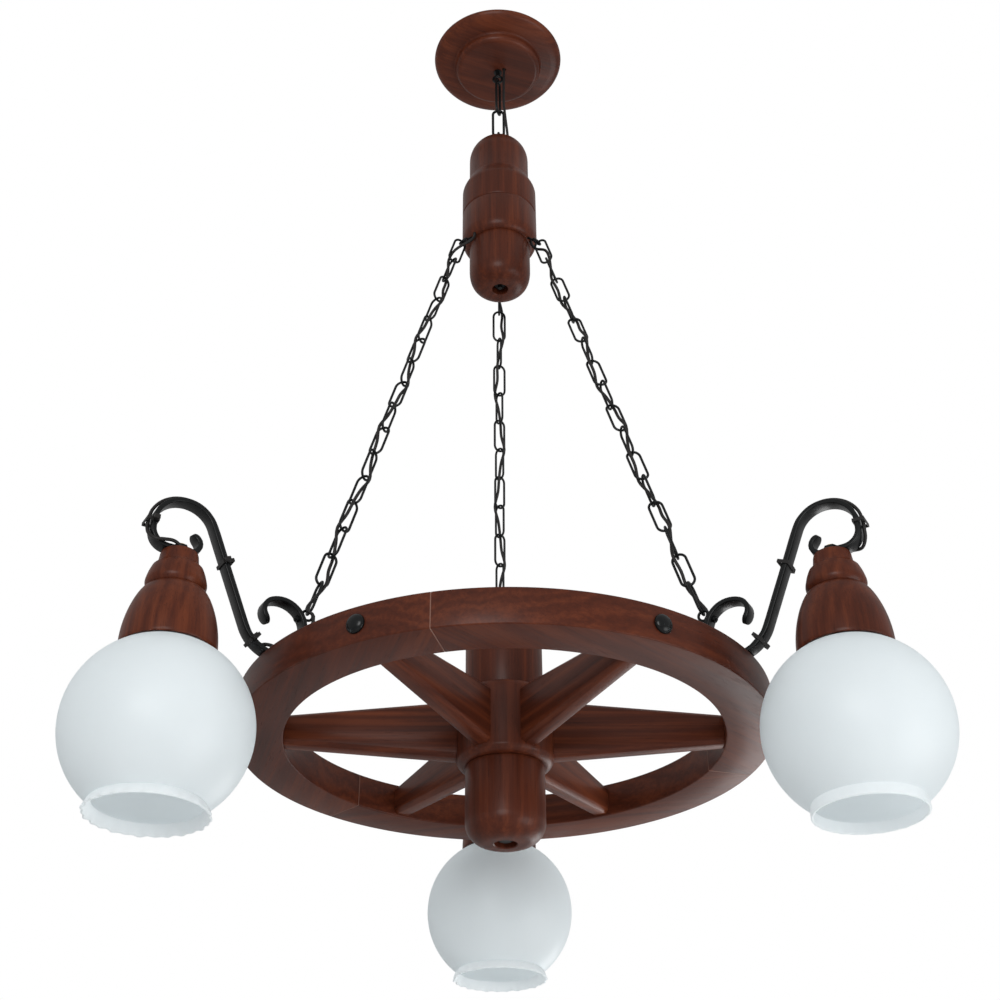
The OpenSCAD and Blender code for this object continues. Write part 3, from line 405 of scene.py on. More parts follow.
# Clearance of seats, chain wire and the space between links, radius of the rod's hole and of the larger bores
SEAT, WIRE, LINK_GAP, ROD_HOLE, BORE_R = 0.1, 2.6, 0.3, 2.6, 5.1
CABLE_D = 3.2
CABLE_HOLE = CABLE_D / 2 + 0.4

# Ceiling rose
ROSE_H, ROSE_FLOOR, ROSE_R, ROSE_FLAT, ROSE_WELL, ROSE_WALL, ROSE_RIM = 23, 8, 80.5, 53.5, 48, 13, 4
DISC_ROUND, ROSE_COVE = 7, 3.5

# Gathering hub: the seam is where its two pieces meet, the step is where the cables come out
HUB_TOP, CROWN_H, CUP_H, CAP_R, GATHER_R, DRUM_R = -149.7, 126, 110, 35.1, 43.3, 34.8
SHOULDER_TOP, SHOULDER_H, SEAM_ROUND, STEP_DROP, STEP_ROUND, DRUM_ROUND = 66, 25, 3.5, 48.5, 14, 30
SEAM = HUB_TOP - CROWN_H
STEP = SEAM - STEP_DROP
CHAMBER_R, CHAMBER_UP, CHAMBER_DOWN = GATHER_R - 9.7, 36, 18

# Wheel: rim, nave, the two turned bosses on it, and spokes
WHEEL_R, RIM_W, RIM_H = 250, 44.6, 33.4
RIM_IN_R = WHEEL_R - RIM_W
NAVE_R, NAVE_H, NAVE_ROUND, BOSS_R, BOSS_H, BOSS_ROUND = 45.7, 72, 8, 37, 73, 20
SPOKE_T, SPOKE_H_HUB, SPOKE_H_RIM, SPOKE_CHAMFER = 20, 57, 29, 4

# Arms: flat bar, from the foot on the rim inwards over a heel and a leg to the small scroll
ARM_W, ARM_T, FOOT_R, SCROLL_R = 14, 4.5, 225.5, 23
HEEL_FLAT, HEEL_BEND, LEG_H = 6.5, 8, 24.9
FOOT = (FOOT_R, RIM_H + ARM_T / 2 + SEAT)

# Lamps: heights are from the top of the holder, and the holder's bell stands clear of the globe
HOLDER_H, HOLDER_R, BELL_EDGE, BELL_CLEAR = 96, 41.5, 0.8, 1
GLOBE_R, GLASS_T, FITTER_R, NECK_R, LIP_H = 79.5, 2.6, 20.5, 46.6, 9.5
GLOBE_Y = -HOLDER_H - math.sqrt((GLOBE_R + BELL_CLEAR) ** 2 - (HOLDER_R - BELL_EDGE) ** 2)

# The chains run from the leaning eyes under the hub to the eyes on the small scrolls, which sets the wheel's height
LINKS, LINK_L, LINK_W, CHAIN_TWIST = 16, 39.5, 16, 40
LINK_PITCH = LINK_L - 2 * WIRE - LINK_GAP
EYE_WIRE_R, EYE_TURN, EYE_REACH = 4.9, math.radians(149), SCROLL_R + ARM_T / 2 + 6.3
SCROLL_EYE = (FOOT_R - HEEL_FLAT - HEEL_BEND + SCROLL_R + EYE_REACH * math.cos(EYE_TURN),
              FOOT[1] + HEEL_BEND + LEG_H + EYE_REACH * math.sin(EYE_TURN))
HUB_EYE_OUT, HUB_EYE_DROP = 5.3, 10.3
CHAIN_TOP = (GATHER_R + HUB_EYE_OUT + EYE_WIRE_R * math.sqrt(0.5),
             STEP - HUB_EYE_DROP - EYE_WIRE_R * math.sqrt(0.5))
CHAIN_SPAN = LINKS * LINK_PITCH - WIRE - LINK_GAP + EYE_WIRE_R
CHAIN_SPREAD = SCROLL_EYE[0] - CHAIN_TOP[0]
CHAIN_TILT = math.asin(CHAIN_SPREAD / CHAIN_SPAN)
WHEEL_Z = CHAIN_TOP[1] - math.sqrt(CHAIN_SPAN ** 2 - CHAIN_SPREAD ** 2) - SCROLL_EYE[1]
NAVE_Z = WHEEL_Z + RIM_H / 2


# ---------- Where the grain runs ----------

def upright(shift=(0, 0, 0), turn=0):
    """Grain along the axis of a turned piece."""
    return lambda wood: wood.place(turn=(0, 0, turn), shift=shift)


def along(azimuth, shift=(0, 0, 0)):
    """Grain that runs level, in the direction of an azimuth."""
    def grain(wood):
        x, y, z = wood.parts(wood.place(turn=(0, 0, -math.radians(azimuth)), shift=shift))
        return wood.vector(z, y, x)
    return grain


# ---------- Ceiling rose ----------

def ceiling_rose(wood):
    """A rounded disc, a tight cove and a flat rim that falls away to the ceiling; a hole for the feed cable."""
    floor = -ROSE_H
    outline = [(ROD_HOLE, floor)]
    outline += arc(ROSE_FLAT - DISC_ROUND, floor + DISC_ROUND, DISC_ROUND, -90, -22, 18)
    outline += arc(ROSE_FLAT + ROSE_COVE, floor + DISC_ROUND + 1, ROSE_COVE, 172, 100, 10)
    rim = [(67.5, -11.2), (73.5, -9.6), (77.5, -7.6), (79.7, -5), (ROSE_R, -2.8), (79.9, -1), (78, 0)]
    outline += smooth_outline(rim, 5)
    outline += [(ROSE_R - ROSE_WALL, 0), (ROSE_R - ROSE_WALL, -ROSE_RIM), (ROSE_WELL, -ROSE_RIM),
                (ROSE_WELL, floor + ROSE_FLOOR), (ROD_HOLE, floor + ROSE_FLOOR)]
    hole = ((8, -4.5, 5), (8, -4.5, floor - 5))
    return drilled(turned("rose", outline, wood, steps=128), [hole], CABLE_HOLE + 0.4)


# ---------- Gathering hub ----------

EXIT_R, EXIT_Y, EXIT_LEAN = DRUM_R + 3.4, 7, math.radians(10.5)


def in_exit(z):
    """A point on the axis of a cable's leaning hole through the cup, in the lamp's radial plane."""
    return (EXIT_R - (z - STEP + 3) * math.tan(EXIT_LEAN), EXIT_Y, z)


def hub_crown(wood):
    """The upper piece: a dome, a cap, a shoulder that swells to the middle, and a chamber inside."""
    tip = math.degrees(math.acos(ROD_HOLE / CAP_R))
    outline = arc(0, -CAP_R, CAP_R, tip, 0, 20)
    outline += [(CAP_R, -SHOULDER_TOP + 0.6), (CAP_R + 0.25, -SHOULDER_TOP)]
    for i in range(1, 15):
        t = i / 14
        outline.append((CAP_R + 0.3 + (GATHER_R - CAP_R - 0.3) * (1 - math.cos(math.pi * t)) / 2,
                        -SHOULDER_TOP - SHOULDER_H * t))
    outline += arc(GATHER_R - SEAM_ROUND, -CROWN_H + SEAM_ROUND, SEAM_ROUND, 0, -90, 10)
    outline += [(CHAMBER_R, -CROWN_H), (CHAMBER_R, -CROWN_H + CHAMBER_UP), (ROD_HOLE, -CROWN_H + CHAMBER_UP)]
    piece = turned("gathering_hub_top", outline, wood, (0, 0, HUB_TOP))
    return drilled(piece, [((11.5, -2, HUB_TOP + 5), (11.5, -2, SEAM + CHAMBER_UP - 5))], CABLE_HOLE)


def hub_cup(wood):
    """The lower piece: a step that rounds in to the drum, a rounded foot with a recess, and the cables' exits."""
    recess_r, recess_h, flatness = 9, 12, 0.7
    outline = [(GATHER_R - 1, 0), (GATHER_R - 0.3, -0.3), (GATHER_R, -1)]
    for i in range(15):
        a = math.radians(90 * i / 14)
        outline.append((DRUM_R + (GATHER_R - DRUM_R) * math.cos(a), -STEP_DROP + STEP_ROUND * (1 - math.sin(a))))
    for i in range(18):
        a = math.radians(90 * i / 18)
        outline.append((recess_r + 1 + (DRUM_R - recess_r - 1) * math.cos(a) ** flatness,
                        -CUP_H + DRUM_ROUND * (1 - math.sin(a) ** flatness)))
    outline += [(recess_r + 0.6, -CUP_H), (recess_r, -CUP_H + 0.6), (recess_r, -CUP_H + recess_h),
                (ROD_HOLE, -CUP_H + recess_h), (ROD_HOLE, -CHAMBER_DOWN), (CHAMBER_R, -CHAMBER_DOWN), (CHAMBER_R, 0)]
    below, above = in_exit(STEP - 10), in_exit(SEAM - 10)
    holes = [(at(azimuth, *below), at(azimuth, *above)) for azimuth in LAMPS.values()]
    return drilled(turned("gathering_hub_cup", outline, wood, (0, 0, SEAM)), holes, CABLE_HOLE)


# ---------- Wheel ----------

def felloe(index, wood, joint):
    """A third of the rim. Its end faces are bevelled, so that the joint shows as a fine pale line."""
    round_edge, bevel, cuts = 1.3, 0.45, 80
    section = rounded([(RIM_IN_R, 0, round_edge), (WHEEL_R, 0, round_edge), (WHEEL_R, RIM_H, round_edge),
                       (RIM_IN_R, RIM_H, round_edge)], 3)
    middle = ((WHEEL_R + RIM_IN_R) / 2, RIM_H / 2)
    start = FIRST_JOINT + THIRD * index
    bevel_turn = math.degrees(bevel / WHEEL_R)
    turns = [0, bevel_turn] + [THIRD * k / cuts for k in range(1, cuts)] + [THIRD - bevel_turn, THIRD]
    rows = []
    for turn in turns:
        shrink = bevel if turn in (0, THIRD) else 0
        rows.append([at(start + turn, x - math.copysign(shrink, x - middle[0]), 0,
                        WHEEL_Z + y - math.copysign(shrink, y - middle[1])) for x, y in section])
    points, faces = skin(rows, False)
    wide, total = len(section), len(faces)
    ends = list(range(wide)) + list(range(total - 2 - wide, total))
    return form(f"rim_felloe_{index + 1}", points, faces, wood, joint, end_faces=ends)


def spoke(index, wood):
    """A tapered spoke with chamfered edges, cut to the round of the hub and of the rim."""
    azimuth = 360 / SPOKES * index
    c, w = SPOKE_CHAMFER, SPOKE_T / 2
    clear, soft, steps = 0.15, 0.5, 12
    start, end, full_height_at = NAVE_R + clear, RIM_IN_R - clear, NAVE_R - 1.85
    rows = []
    for i in range(steps + 1):
        share = i / steps
        row = []
        for sign_x, sign_y in ((-1, -1), (1, -1), (1, 1), (-1, 1)):
            chamfer = [(w - c - soft, 0), (w - c + soft * 0.7, soft * 0.7),
                       (w - soft * 0.7, c - soft * 0.7), (w, c + soft)]
            if sign_x * sign_y > 0:
                chamfer = chamfer[::-1]
            for across, drop in chamfer:
                aside = sign_x * across
                near = math.sqrt(start * start - aside * aside)
                far = math.sqrt(end * end - aside * aside)
                out = near + (far - near) * share
                taper = (out - full_height_at) / (end - full_height_at)
                half = (SPOKE_H_HUB + (SPOKE_H_RIM - SPOKE_H_HUB) * taper) / 2
                row.append(at(azimuth, out, aside, NAVE_Z + sign_y * (half - drop)))
        rows.append(row)
    return form(f"wheel_spoke_{index + 1}", *skin(rows, False), wood, sharp=50)


def wheel_hub(wood):
    """The middle of the wheel's hub, which the spokes run into."""
    half = NAVE_H / 2
    outline = [(BORE_R, -half), (BOSS_R - 2, -half)]
    outline += arc(NAVE_R - NAVE_ROUND, -half + NAVE_ROUND, NAVE_ROUND, -90, 0, 8)
    outline += arc(NAVE_R - NAVE_ROUND, half - NAVE_ROUND, NAVE_ROUND, 0, 90, 8)
    outline += [(BOSS_R - 2, half), (BORE_R, half)]
    return turned("wheel_hub_middle", outline, wood, (0, 0, NAVE_Z))


def wheel_boss(name, wood, way):
    """A turned end of the wheel hub; way is 1 for the upper one and -1 for the lower one."""
    recess_r, recess_h = 10.5, 14
    outline = [(BORE_R, 0), *rounded([(0, 0), (BOSS_R, 0, 1.4), (BOSS_R, 20)], 3)[1:-1]]
    outline += arc(BOSS_R - BOSS_ROUND, BOSS_H - BOSS_ROUND, BOSS_ROUND, 0, 90, 14)
    outline += [(recess_r + 0.8, BOSS_H), (recess_r, BOSS_H - 0.8), (recess_r, BOSS_H - recess_h),
                (BORE_R, BOSS_H - recess_h)]
    outline = [(r, way * (NAVE_H / 2 + z)) for r, z in outline]
    return turned(name, outline, wood, (0, 0, NAVE_Z))


# ---------- Scroll arms ----------

def step_on(pen, step):
    """A pen (x, y, heading) after one step: (length, 0) runs straight, (radius, degrees) bends."""
    x, y, way = pen
    size, turn = step
    if turn == 0:
        return (x + size * math.cos(way), y + size * math.sin(way), way)
    side, to = math.copysign(1, turn), way + math.radians(turn)
    return (x - side * size * (math.sin(way) - math.sin(to)), y + side * size * (math.cos(way) - math.cos(to)), to)


def trace(pen, stroke, span=3.0):
    """Pens along a stroke, about span millimetres apart."""
    pens = [pen]
    for size, turn in stroke:
        length = size if turn == 0 else abs(math.radians(turn)) * size
        cuts = max(1, round(length / span))
        start = pens[-1]
        for k in range(1, cuts + 1):
            share = k / cuts
            pens.append(step_on(start, (size * share, 0) if turn == 0 else (size, turn * share)))
    return pens


FOOT_FLAT, FOOT_BEND, ARM_SLOPE, ARCH_R = 6.5, 38, 67, 28
HOOK_DROP, HOOK_R, HOOK_OUT, HOOK_IN, CURL_R = 7, 15, 12.5, 7.5, 8.5
LAMP_OUT = 81
LAMP_R = WHEEL_R + LAMP_OUT
RISE_REACH = (LAMP_R + HOOK_OUT + HOOK_R - ARCH_R - FOOT_R - FOOT_FLAT
              - (FOOT_BEND + ARCH_R) * math.sin(math.radians(ARM_SLOPE)))
RISE_L = RISE_REACH / math.cos(math.radians(ARM_SLOPE))
ARM_OUT = [(FOOT_FLAT, 0), (FOOT_BEND, ARM_SLOPE), (RISE_L, 0), (ARCH_R, -90 - ARM_SLOPE), (HOOK_DROP, 0),
           (HOOK_R, -90), (HOOK_OUT + HOOK_IN, 0), (CURL_R, -135)]
ARM_IN = [(HEEL_FLAT, 0), (HEEL_BEND, -90), (LEG_H, 0), (SCROLL_R, -115), (11.5, -98)]


def beside(pen, off):
    """The point to the left of a pen's heading."""
    x, y, way = pen
    return (x - off * math.sin(way), y + off * math.cos(way))


def after(count):
    """The pen after the first steps of the outer stroke."""
    pen = (*FOOT, 0.0)
    for step in ARM_OUT[:count]:
        pen = step_on(pen, step)
    return pen


HOOK_Y = after(6)[1] - ARM_T / 2
LAMP_Z = WHEEL_Z + HOOK_Y


def scroll_arm(name, azimuth, paint):
    """Flat bar with softened edges, forged round at both ends, bent in the lamp's radial plane."""
    inner = trace((*FOOT, math.pi), ARM_IN)
    outer = trace((*FOOT, 0.0), ARM_OUT)
    path = [(x, y, way + math.pi) for x, y, way in reversed(inner)] + outer[1:]
    half, thick, soft = ARM_W / 2, ARM_T / 2, 1.0
    # the bar's two ends are round: cuts at these distances past its last pens, narrower the farther out
    reach = [7, 6.9, 6.4, 5.6, 4.6, 3.4, 2.0]
    first, last = path[0], path[-1]
    head = [(first[0] - d * math.cos(first[2]), first[1] - d * math.sin(first[2]), first[2]) for d in reach]
    tail = [(last[0] + d * math.cos(last[2]), last[1] + d * math.sin(last[2]), last[2]) for d in reversed(reach)]
    widths = [max(0.5, math.sqrt(max(0.0, half * half - d * d))) for d in reach]
    pens = [(p, w) for p, w in zip(head, widths)] + [(p, half) for p in path]
    pens += [(p, w) for p, w in zip(tail, reversed(widths))]
    rows = []
    for pen, wide in pens:
        edge = min(soft, wide * 0.9)
        section = rounded([(-wide, -thick, edge), (wide, -thick, edge), (wide, thick, edge), (-wide, thick, edge)], 2)
        row = []
        for across, off in section:
            x, y = beside(pen, off)
            row.append(at(azimuth, x, across, WHEEL_Z + y))
        rows.append(row)
    return form(name, *skin(rows, False), paint, sharp=60)


# ---------- Lamps ----------

def lamp_holder(name, azimuth, wood):
    """Turned holder: a splayed neck, a collar with a crisp upper edge, a waist and a bell that cups the globe."""
    top_r, collar_r, waist_r, waist_y, bell_h = 15.5, 26.6, 24.8, -38, 54
    skirt_r, skirt_y, pocket_r, pocket_y, ball = 26, -62, 21.2, -36, GLOBE_R + BELL_CLEAR
    rim_y = GLOBE_Y + math.sqrt(ball * ball - (HOLDER_R - BELL_EDGE) ** 2)
    first, last = math.acos((HOLDER_R - 1.2) / ball), math.acos(skirt_r / ball)
    cup = [(ball * math.cos(a), GLOBE_Y + ball * math.sin(a)) for a in
           [first + (last - first) * i / 6 for i in range(7)]]
    outline = [(BORE_R, 0), *rounded([(0, 0), (top_r + 0.6, 0, 1.4), (top_r + 1.8, -8)], 4)[1:-1]]
    neck = [(top_r + 1.3, -3), (top_r + 1.9, -8), (top_r + 2.8, -12), (top_r + 4.2, -14.4), (top_r + 6, -15.4)]
    collar = [(top_r + 6.8, -16.2), (collar_r - 2.2, -21.5), (collar_r - 0.8, -26.5), (collar_r, -30.5),
              (collar_r - 0.3, -33.2), (collar_r - 1.5, -35.8), (waist_r - 1.2, waist_y + 0.4)]
    for stretch in (neck, collar):
        outline += smooth_outline(stretch, 4)
    for i in range(25):
        t = (i / 24) ** 1.5
        outline.append((waist_r + (HOLDER_R - waist_r) * math.sin(math.pi / 2 * t) ** 0.65, waist_y - bell_h * t))
    outline += [(HOLDER_R, rim_y + 1.4), (HOLDER_R - 0.5, rim_y + 0.5)]
    outline += cup
    outline += [(skirt_r, skirt_y), (pocket_r, skirt_y), (pocket_r, pocket_y), (BORE_R, pocket_y)]
    piece = turned(name, outline, wood, at(azimuth, LAMP_R, 0, LAMP_Z))
    hole = [at(azimuth, LAMP_R + 3, 9.7, LAMP_Z + y) for y in (3, -40)]
    return drilled(piece, [hole], CABLE_HOLE)


def globe(name, azimuth, glass, flare, frill):
    """Blown globe, open below, with a short lip that flares and frills more or less."""
    inner, edge = GLOBE_R - GLASS_T, 1.2
    neck_y = GLOBE_Y - math.sqrt(GLOBE_R ** 2 - NECK_R ** 2)
    lip_y = neck_y - LIP_H
    top = math.degrees(math.acos(FITTER_R / GLOBE_R))
    bottom = -math.degrees(math.acos(NECK_R / GLOBE_R))
    top_in = math.degrees(math.acos(FITTER_R / inner))
    bottom_in = -math.degrees(math.acos((NECK_R - GLASS_T) / inner))
    outline = arc(0, GLOBE_Y, GLOBE_R, top, bottom, 56)
    front = [(0, neck_y), (flare * 0.5, neck_y - 2.6), (flare * 0.85, lip_y + 3.5), (flare, lip_y + edge)]
    outline += [(NECK_R + x, y) for x, y in smooth_outline(front, 4)][1:]
    outline += arc(NECK_R + flare - edge, lip_y + edge, edge, 0, -180, 6)[1:]
    back = [(flare - 2 * edge, lip_y + 1.4), (flare * 0.7 - 2.5, lip_y + 4), (-GLASS_T, neck_y + 0.2)]
    outline += [(NECK_R + x, y) for x, y in smooth_outline(back, 4)][1:]
    outline += arc(0, GLOBE_Y, inner, bottom_in, top_in, 48)[1:]
    centre = at(azimuth, LAMP_R, 0, LAMP_Z)
    return frilled(turned(name, outline, glass, centre, steps=256), centre, frill, LAMP_Z + neck_y, LAMP_Z + lip_y)


# ---------- Geometry Nodes: the lips of the globes, chain links and rim bolts ----------

class Builder(Graph):
    """A node tree for meshes, with named inputs."""

    def __init__(self, name, material, **inputs):
        self.tree = bpy.data.node_groups.new(name, "GeometryNodeTree")
        self.tree.interface.new_socket("Geometry", in_out="INPUT", socket_type="NodeSocketGeometry")
        self.tree.interface.new_socket("Geometry", in_out="OUTPUT", socket_type="NodeSocketGeometry")
        self.keys, self.values, self.material = {}, inputs, material
        for label, value in inputs.items():
            kind = "NodeSocketInt" if isinstance(value, int) else "NodeSocketFloat"
            kind = "NodeSocketObject" if isinstance(value, bpy.types.Object) else kind
            self.keys[label] = self.tree.interface.new_socket(label, in_out="INPUT", socket_type=kind).identifier
        self.start = self.tree.nodes.new("NodeGroupInput")

    def given(self, label):
        """One of the named inputs."""
        return Field(self.tree, self.start.outputs[label])

    def finish(self, geometry):
        """Ends the tree: instances become real and take the finish."""
        real = self.node("GeometryNodeRealizeInstances", Geometry=geometry)
        set_material = self.tree.nodes.new("GeometryNodeSetMaterial")
        set_material.inputs["Material"].default_value = self.material
        self.tree.links.new(real.socket, set_material.inputs["Geometry"])
        end = self.tree.nodes.new("NodeGroupOutput")
        self.tree.links.new(set_material.outputs[0], end.inputs[0])

    def make(self, name, mesh, place=None, sharp=40):
        """Runs the tree on a mesh and gives the result as a plain piece, with its place in its mesh."""
        holder = bpy.data.objects.new(name + "_tree", mesh)
        bpy.context.scene.collection.objects.link(holder)
        modifier = holder.modifiers.new(self.tree.name, "NODES")
        modifier.node_group = self.tree
        for label, value in self.values.items():
            modifier[self.keys[label]] = value
        graph = bpy.context.evaluated_depsgraph_get()
        made = bpy.data.meshes.new_from_object(holder.evaluated_get(graph), depsgraph=graph)
        bpy.data.objects.remove(holder)
        made.transform(place or Matrix.Identity(4))
        made.shade_smooth()
        made.set_sharp_from_angle(angle=math.radians(sharp))
        piece = bpy.data.objects.new(name, made)
        bpy.context.scene.collection.objects.link(piece)
        return piece


def frilled(piece, centre, frill, neck, lip):
    """Frills the lip of a turned globe into small uneven scallops, none of them lower than the lip."""
    shape = Builder("globe_lip", piece.data.materials[0], Scallops=27, Uneven=16, Frill=frill * MM, Neck=neck * MM,
                    Lip=lip * MM)
    axis = (centre[0] * MM, centre[1] * MM, 0)
    x, y, z = shape.parts(shape.vector_maths("SUBTRACT", i0=shape.node("GeometryNodeInputPosition"), i1=axis))
    turn = shape.calc("ARCTAN2", y, x)
    wave = (shape.calc("COSINE", turn * shape.given("Scallops")) * 0.6
            + shape.calc("COSINE", turn * shape.given("Uneven") + 1.3) * 0.4)
    neck, lip, frill = shape.given("Neck"), shape.given("Lip"), shape.given("Frill")
    edge = shape.calc("ADD", (neck - z) / (neck - lip), 0.0, clamp=True)
    outward = shape.vector_maths("NORMALIZE", i0=shape.vector(x, y))
    away = shape.vector_maths("SCALE", i0=outward, Scale=wave * edge * edge * frill)
    lift = shape.vector(z=(1.0 - wave) * edge * edge * edge * frill * 0.35)
    both = shape.vector_maths("ADD", i0=away, i1=lift)
    shape.finish(shape.node("GeometryNodeSetPosition", Geometry=shape.given("Geometry"), Offset=both))
    name, mesh = piece.name, piece.data
    bpy.data.objects.remove(piece)
    return shape.make(name, mesh)


def chain(name, azimuth, material):
    """Welded links, each a quarter turn on from the last, laid along the chain's line with a slight twist."""
    shape = Builder(name, material, Links=LINKS, Pitch=LINK_PITCH * MM, Long=LINK_L * MM, Wide=LINK_W * MM,
                    Wire=WIRE * MM, Twist=math.radians(CHAIN_TWIST))
    wire, wide = shape.given("Wire"), shape.given("Wide")
    outline = shape.node("GeometryNodeCurvePrimitiveQuadrilateral", Width=wide - wire,
                         Height=shape.given("Long") - wire)
    fillet = shape.tree.nodes.new("GeometryNodeFilletCurve")
    fillet.mode = "POLY"
    join(shape.tree, outline, fillet.inputs["Curve"])
    join(shape.tree, (wide - wire) * 0.4995, fillet.inputs["Radius"])
    fillet.inputs["Count"].default_value = 7
    fillet.inputs["Limit Radius"].default_value = True
    profile = shape.node("GeometryNodeCurvePrimitiveCircle", Resolution=10, Radius=wire * 0.5)
    ring = shape.node("GeometryNodeCurveToMesh", Curve=Field(shape.tree, fillet.outputs[0]), Profile_Curve=profile)
    link = shape.node("GeometryNodeTransform", Geometry=ring, Rotation=(math.pi / 2, 0, 0))
    line = shape.node("GeometryNodeMeshLine", Count=shape.given("Links"),
                      Offset=shape.vector(z=shape.given("Pitch") * -1.0))
    index = shape.node("GeometryNodeInputIndex")
    odd = shape.calc("MODULO", index, 2.0)
    sway = shape.calc("SINE", index * math.pi / (shape.given("Links") - 1))
    turn = odd * (math.pi / 2) + sway * shape.given("Twist")
    laid = shape.node("GeometryNodeInstanceOnPoints", Points=line, Instance=link, Rotation=shape.vector(z=turn))
    shape.finish(laid)
    first = (WIRE + LINK_GAP - (LINK_L - WIRE) / 2) * MM
    place = (Matrix.Rotation(math.radians(azimuth), 4, "Z")
             @ Matrix.Translation((CHAIN_TOP[0] * MM, 0, CHAIN_TOP[1] * MM))
             @ Matrix.Rotation(-CHAIN_TILT, 4, "Y") @ Matrix.Translation((0, 0, first)))
    return shape.make(name, bpy.data.meshes.new(name + "_start"), place, sharp=60)


def rim_bolts(material):
    """Six domed heads round the rim, each over a spoke's end, with the flat land of a coach bolt."""
    r, h, land, tip = 8.75, 5.5, 0.9, 0.01
    outline = [(tip, 0), (r - 0.3, 0), (r, 0.35), (r, land)]
    for a in [math.pi / 2 * k / 12 for k in range(1, 12)]:
        outline.append((r * math.cos(a), land + (h - land) * math.sin(a)))
    outline += [(tip, h)]
    head = turned("bolt_head", outline, material, steps=40)
    shape = Builder("rim_bolts", material, Bolts=SPOKES, Rim=WHEEL_R * MM, Head=head)
    ring = shape.node("GeometryNodeMeshCircle", Vertices=shape.given("Bolts"), Radius=shape.given("Rim"))
    index = shape.node("GeometryNodeInputIndex")
    angle = index * (2 * math.pi) / shape.given("Bolts")
    info = shape.tree.nodes.new("GeometryNodeObjectInfo")
    join(shape.tree, shape.given("Head"), info.inputs["Object"])
    geometry = [s for s in info.outputs if s.name == "Geometry"][0]
    laid = shape.node("GeometryNodeInstanceOnPoints", Points=ring, Instance=Field(shape.tree, geometry),
                      Rotation=shape.vector(y=math.pi / 2, z=angle))
    shape.finish(laid)
    piece = shape.make("rim_bolt_heads", bpy.data.meshes.new("bolts_start"), Matrix.Translation((0, 0, NAVE_Z * MM)))
    bpy.data.objects.remove(head)
    return piece


# ---------- Cables ----------

WIRE_BLOCK_H = 12
WIRE_BLOCK_TOP = SEAM - CHAMBER_DOWN + WIRE_BLOCK_H
# The feed cable is cut at these heights, and a span of heights from one body to the next is listed for each piece
FEED_CUTS = [-66, -114]
FEED_SPANS = [(-30, -60), (-80, -112), (-118, -146)]
# A slanting line out and down from the chain's top: it leans out further than the chain does
CHAIN_REACH, CHAIN_FALL = 284, 440


def twist(i):
    """How far a chain is turned about its line at its link i, in degrees: nothing at its ends."""
    return CHAIN_TWIST * math.sin(math.pi * min(1, i / (LINKS - 1)))


def on_chain(x, y, z):
    """A point of the chain's own frame, in the lamp's radial plane."""
    c, s = math.cos(CHAIN_TILT), math.sin(CHAIN_TILT)
    return (CHAIN_TOP[0] + x * c - z * s, y, CHAIN_TOP[1] + x * s + z * c)


def lamp_cable_path(azimuth):
    """The route of a lamp's cable: hub, chain, foot of the arm, bar, holder. Points are (out, aside, up)."""
    block = WIRE_BLOCK_TOP - WIRE_BLOCK_H / 2
    points = [(20.3, 2.5, block), (27, 4.5, block + 1), in_exit(block - 4), in_exit(STEP + 4), in_exit(STEP - 5),
              (CHAIN_TOP[0] - 8, EXIT_Y + 0.5, CHAIN_TOP[1] + 0.5)]
    for k in range(1, 2 * LINKS + 1):
        # close to the chain's line in the middle of a link, further out where two links meet
        a, r = math.radians(45 * (k + 1) - twist((k - 1) / 2)), 5.5 if k % 2 == 0 else 2.5
        points.append(on_chain(r * math.sin(a), r * math.cos(a), (WIRE + LINK_GAP) / 2 - k * LINK_PITCH / 2))
    eye_x, eye_y = SCROLL_EYE
    # down beside the scroll's eye, round the heel of the arm and up on to the bar
    for x, t, y in ((eye_x - 2.5, 8, eye_y - 4), (eye_x + 1, 10, eye_y - 24), (eye_x + 6, 10.5, RIM_H + 12),
                    (FOOT_R - 3, 10.5, RIM_H + 3.6), (FOOT_R + 11, 9.8, RIM_H + 5), (FOOT_R + 15.5, 8, RIM_H + 8.8),
                    (FOOT_R + 20.5, 3.8, RIM_H + 11)):
        points.append((x, t, WHEEL_Z + y))
    pens = [step_on(after(1), (FOOT_BEND, a)) for a in (32, 50, ARM_SLOPE)]
    pens += [step_on(after(2), (RISE_L * t, 0)) for t in (0.33, 0.67)]
    pens += [after(3)] + [step_on(after(3), (ARCH_R, -(90 + ARM_SLOPE) * i / 7)) for i in range(1, 8)] + [after(5)]
    for pen in pens:
        x, y = beside(pen, (ARM_T + CABLE_D) / 2 + 0.65)
        points.append((x, 0, WHEEL_Z + y))
    # off the bar over the hook and down through the holder
    for x, t, y in ((30.7, 3.6, 10), (25.8, 8.4, 4.4), (18.3, 10, 4.8), (11, 9.9, 5.8), (5.6, 9.7, 4), (3, 9.7, -1.5),
                    (3, 9.7, -40.8)):
        points.append((LAMP_R + x, t, WHEEL_Z + HOOK_Y + y))
    return [at(azimuth, *p) for p in smooth_path(points, 4)]


def free_cord(path):
    """Works out the length of a slack stretch of cable and its points in metres, and keeps neither."""
    length = sum((b - a).length for a, b in zip(path, path[1:])) * MM
    path[0] * MM
    [p * MM for p in path]


def supply_path():
    """The slack feed from the block in the rose, down beside the links and through the dome to the lower block."""
    hole, drop = -10.6, HUB_TOP
    return smooth_path([
        (10, -29, hole), (10, -20, hole), (9, -12, hole + 0.4), (8.2, -7, hole - 1.4), (8, -4.7, -16), (8, -4.5, -20),
        (7.4, -4.8, -36.2), (6.8, -5.2, -82.6), (7.6, -5.4, -97.6), (9.2, -5.2, -118.9), (10.8, -4, -136.9),
        (11.5, -2, drop - 4), (11.5, -2, drop - 60), (11.5, -2, SEAM + CHAMBER_UP), (12, 2, SEAM + 14),
        (13, 3, WIRE_BLOCK_TOP + 0.2)], 5)


